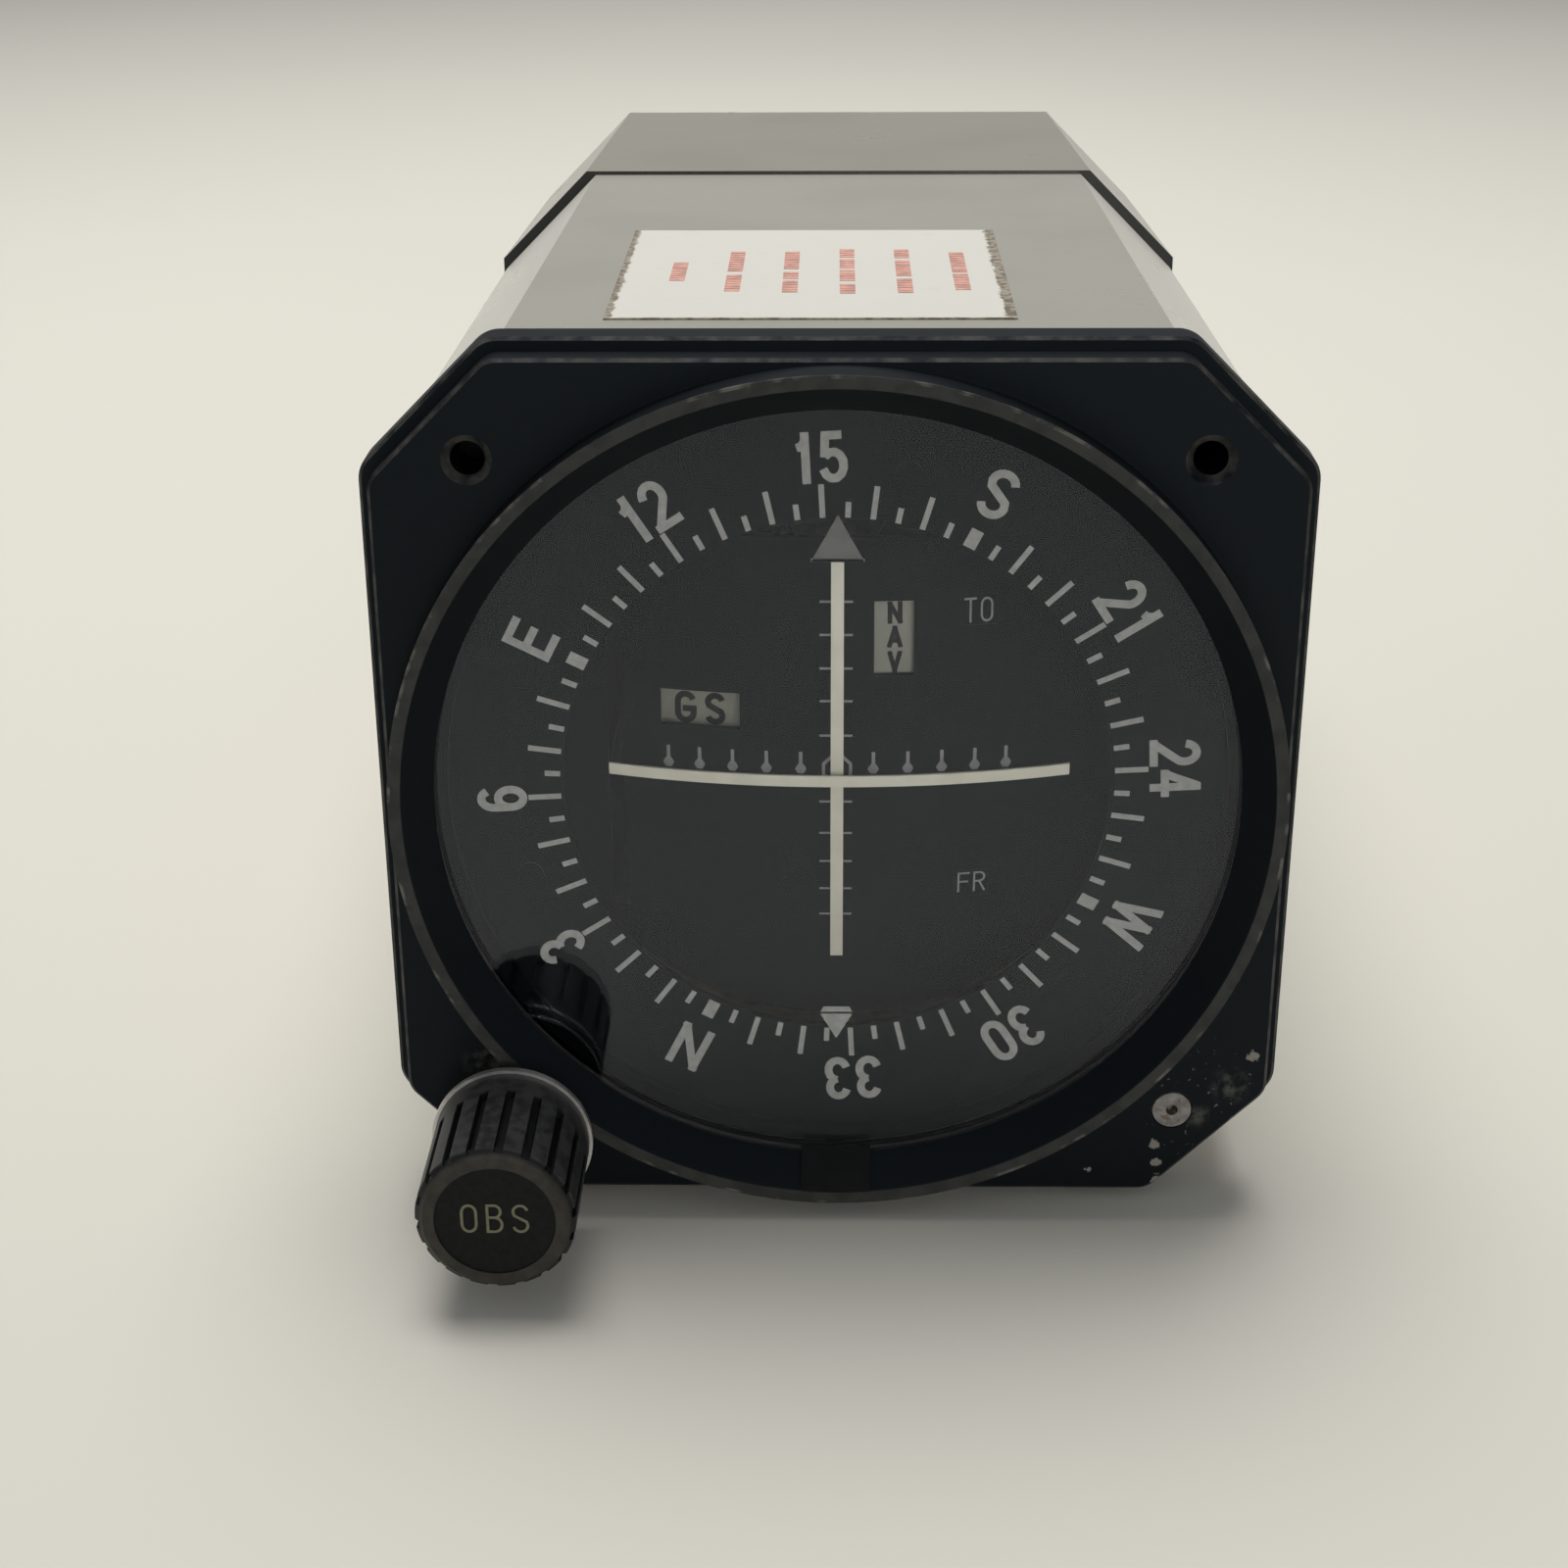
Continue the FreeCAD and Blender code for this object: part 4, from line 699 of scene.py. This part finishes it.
def ribbon(points, weight):
    """Quads along a line of points, joined at the bends."""
    sides = []
    closed = points[0] == points[-1]
    last = len(points) - 1
    for i, (x, z) in enumerate(points):
        before = points[i - 1] if i else (points[last - 1] if closed else points[0])
        after = points[i + 1] if i < last else (points[1] if closed else points[last])
        first = Vector((x - before[0], z - before[1]))
        second = Vector((after[0] - x, after[1] - z))
        if first.length == 0:
            first = second
        if second.length == 0:
            second = first
        first.normalize()
        second.normalize()
        along = (first + second).normalized()
        reach = weight / 2 / max(0.5, along.dot(first))
        left = (x - along.y * reach, z + along.x * reach)
        right = (x + along.y * reach, z - along.x * reach)
        sides.append((left, right))
    return [[a, c, d, b] for (a, b), (c, d) in zip(sides, sides[1:])]


def letter_shape(letter, width, height, weight):
    """Outlines of one letter, its lower left corner at (0, 0)."""
    outlines = []
    for layer, line in enumerate(strokes[letter]):
        places = [
            (weight / 2 + u * (width - weight), weight / 2 + v * (height - weight))
            for u, v in line
        ]
        if len(places) == 2:
            start, end = (Vector(p) for p in places)
            spare = (end - start).normalized() * weight / 2
            places = [tuple(start - spare), tuple(end + spare)]
        for quad in ribbon(places, weight):
            quad = clipped(clipped(quad, 0.0, -1), height, 1)
            if len(quad) > 2:
                outlines.append((layer, quad))
    return outlines


def worded(words, widths, height, weight, gap, place, turn=0.0):
    """Outlines of words centred on a place and turned clockwise in degrees."""
    sizes = [widths[letter] * height for letter in words]
    left = -(sum(sizes) + gap * (len(words) - 1)) / 2
    outlines = []
    for letter, width in zip(words, sizes):
        for layer, outline in letter_shape(letter, width, height, weight):
            centred = [(x + left, z - height / 2) for x, z in outline]
            moved = [(x + place[0], z + place[1]) for x, z in turned(centred, turn)]
            outlines.append((layer, moved))
        left += width + gap
    return outlines


bold_widths = dict.fromkeys("023456", 0.54)
bold_widths.update({"1": 0.42, "N": 0.68, "E": 0.57, "S": 0.62, "W": 0.98})
bold_widths.update(dict.fromkeys("GV", 0.66), A=0.70)
thin_widths = dict.fromkeys("TOFRBS", 0.52)


# Compass card
def card_marks():
    ticks = []
    blocks = []
    for heading in range(0, 360, 5):
        turn = heading - card_reading
        if heading % 90 == 0:
            width, length = cardinal_block
            mark = oblong(-width / 2, width / 2, tick_start, tick_start + length)
            blocks.append(turned(mark, turn))
            continue
        length = long_tick if heading % 10 == 0 else short_tick
        mark = oblong(-tick_width / 2, tick_width / 2, tick_start, tick_start + length)
        ticks.append(turned(mark, turn))
    painted("card_ticks", ticks + blocks, on_card, "card", "dial_white")


def card_numerals():
    outlines = []
    for step, words in enumerate(numerals):
        turn = step * 360 / len(numerals) - card_reading
        place = turned([(0.0, numeral_circle)], turn)[0]
        outlines += worded(
            words, bold_widths, numeral_height, numeral_weight, numeral_gap, place, turn
        )
    painted("card_numerals", outlines, on_card, "card", "dial_white")


# Mask scales
def mask_scales():
    half = scale_line / 2
    ticks = []
    dots = []
    for place in loc_tick_places:
        for side in (-1, 1):
            z = side * place * mm
            ticks.append(oblong(*loc_tick_span, z - half, z + half))
    for place in gs_dot_places:
        for side in (-1, 1):
            x = side * place * mm
            dots.append(polygon(x, 0.0, gs_dot_radius, 6))
            stem = gs_dot_line / 2
            dots.append(oblong(x - stem, x + stem, gs_dot_radius * 0.8, gs_dot_stem))
    outer = polygon(0.0, 0.0, centre_ring_radius, 8, 22.5)
    inner = polygon(0.0, 0.0, centre_ring_radius - 1.6 * scale_line, 8, 22.5)
    sides = [
        [outer[i], outer[(i + 1) % 8], inner[(i + 1) % 8], inner[i]]
        for i in range(8)
    ]
    painted("loc_scale", ticks, on_dome, "housing", "scale_grey")
    painted("gs_scale", dots, on_dome, "housing", "scale_grey")
    painted("centre_ring", sides, on_dome, "housing", "scale_grey")


def mask_words():
    for words, place in mask_word_places.items():
        outlines = worded(
            words, thin_widths, mask_word_height, mask_word_weight, mask_word_gap, place
        )
        painted(f"mask_word_{words}", outlines, on_dome, "housing", "faint_grey")


def flag_words():
    outlines = []
    for letter, z in nav_letters_z.items():
        place = (nav_letters_x, z)
        outlines += worded(
            letter, bold_widths, nav_letter_height, nav_letter_weight, 0.0, place
        )
    depth = on_sphere(nav_flag_sphere)
    painted("nav_letters", outlines, depth, "nav_warning", "flag_ink")
    outlines = []
    for letter, x in gs_letters_x.items():
        place = (x, gs_letters_z)
        outlines += worded(letter, bold_widths, gs_letter_height, gs_letter_weight, 0.0, place)
    depth = on_sphere(gs_flag_sphere)
    painted("gs_letters", outlines, depth, "gs_warning", "flag_ink")


def knob_words():
    low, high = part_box("obs_knob_cap")
    place = ((low.x + high.x) / 2, (low.z + high.z) / 2 + knob_word_lift)
    outlines = worded(
        "OBS", thin_widths, knob_word_height, knob_word_weight, knob_word_gap, place
    )
    cap_face = low.y
    painted(
        "knob_letters", outlines, lambda x, z: cap_face, "obs_control", "knob_letters"
    )


def label_lines():
    """Faded lines on the bare label, as blocks where the letters would be."""
    low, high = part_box("top_label")
    fall = (high.z - low.z - label_thickness) / (high.y - low.y)
    step = label_letter + label_letter_gap
    block_faces = [(3, 2, 1, 0), (4, 5, 6, 7)]
    block_faces += [(i, (i + 1) % 4, (i + 1) % 4 + 4, i + 4) for i in range(4)]
    places = []
    faces = []
    for line, runs in enumerate(label_runs):
        share = (line + label_first_line) / (len(label_runs) + label_spare_lines)
        x = low.x + (high.x - low.x) * share
        y = (low.y + high.y) / 2 - (sum(runs) + label_run_gap * (len(runs) - 1)) / 2
        for run in runs:
            for letter in range(round(run / step)):
                start = len(places)
                front = y + letter * step
                for lift in (paint_lift, paint_lift + paint_thickness):
                    for across, along in (
                        (-label_line / 2, front),
                        (label_line / 2, front),
                        (label_line / 2, front + label_letter),
                        (-label_line / 2, front + label_letter),
                    ):
                        top = high.z - fall * (along - low.y) + lift
                        places.append((x + across, along, top))
                faces += [tuple(start + corner for corner in face) for face in block_faces]
            y += run + label_run_gap
    mesh = bpy.data.meshes.new("label_lines")
    mesh.from_pydata(places, [], faces)
    mesh.update()
    finish_piece("label_lines", mesh, "housing", "red_ink")


def index_pieces():
    """The two fixed marks, just clear of the wedge's back."""
    low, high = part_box("index_marks")
    tip = high.z
    half = high.x
    base = tip - top_index_height
    top = [[(0.0, tip), (-half, base), (half, base)]]
    wide = bottom_index_half_width
    shoulder = bottom_index_height - tip
    bar = shoulder + bottom_bar_gap
    bar_top = bar + bottom_bar_height
    narrow = wide * 0.8
    bottom = [
        [(-wide, shoulder), (0.0, -tip), (wide, shoulder)],
        [(-wide, bar), (wide, bar), (narrow, bar_top), (-narrow, bar_top)],
    ]
    rim = oblong(-half, half, base, base + index_edge)
    depth = high.y - index_gap
    piece = painted("index_mark", top, lambda x, z: depth, "housing", "index_paint")
    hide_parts("index_marks")
    for name, outlines in (("index_mark_low", bottom), ("index_mark_edge", [rim])):
        painted(name, outlines, lambda x, z: depth, "housing", "dial_white")


card_marks()
card_numerals()
mask_scales()
mask_words()
flag_words()
knob_words()
label_lines()
index_pieces()


# Floor: it touches the bezel's rim and the case's rear edge, as the object lies
def make_floor():
    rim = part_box("bezel")
    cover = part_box("rear_cover")
    front = Vector((0.0, rim[1].y - rim_inset, rim[0].z))
    back = Vector((0.0, cover[1].y, case_underside))
    tilt = math.atan2(back.z - front.z, back.y - front.y)
    bpy.ops.mesh.primitive_plane_add(size=floor_size, location=front, rotation=(tilt, 0, 0))
    floor = bpy.context.object
    floor.name = "floor"
    g = Graph("floor_paper")
    dim_paper = (0.575, 0.56, 0.505, 1.0)
    bright_paper = (0.625, 0.61, 0.55, 1.0)
    g.set("Base Color", g.mix(g.noise(3.0, 2.0), dim_paper, bright_paper))
    g.set("Roughness", 0.85)
    g.set("Specular IOR Level", 0.15)
    floor.data.materials.append(g.material)


def make_camera():
    yaw = math.radians(camera_yaw)
    pitch = math.radians(camera_pitch)
    roll = math.radians(camera_roll)
    forward = Vector(
        (math.sin(yaw) * math.cos(pitch), math.cos(yaw) * math.cos(pitch), -math.sin(pitch))
    )
    level = Vector((math.cos(yaw), -math.sin(yaw), 0.0))
    upright = level.cross(forward)
    right = level * math.cos(roll) + upright * math.sin(roll)
    up = upright * math.cos(roll) - level * math.sin(roll)
    data = bpy.data.cameras.new("camera")
    data.sensor_width = sensor_width
    data.lens = focal_pixels / image_size * sensor_width
    data.clip_start = 0.01
    camera = bpy.data.objects.new("camera", data)
    bpy.context.scene.collection.objects.link(camera)
    turn = Matrix((right, up, -forward)).transposed().to_4x4()
    camera.matrix_world = Matrix.Translation(camera_place) @ turn
    bpy.context.scene.camera = camera


def area_light(name, place, aim, size, power, spread, colour):
    data = bpy.data.lights.new(name, "AREA")
    data.shape = "DISK"
    data.size = size
    data.spread = math.radians(spread)
    data.energy = power
    data.color = colour
    light = bpy.data.objects.new(name, data)
    bpy.context.scene.collection.objects.link(light)
    light.location = place
    light.rotation_euler = (Vector(aim) - Vector(place)).to_track_quat("-Z", "Y").to_euler()


def make_world():
    world = bpy.data.worlds.new("room")
    bpy.context.scene.world = world
    world.use_nodes = True
    background = world.node_tree.nodes["Background"]
    background.inputs["Color"].default_value = room_colour
    background.inputs["Strength"].default_value = room_light


make_floor()
make_camera()
make_world()
for lamp, values in lamps.items():
    area_light(lamp, *values)

bpy.context.scene.view_settings.view_transform = "Standard"
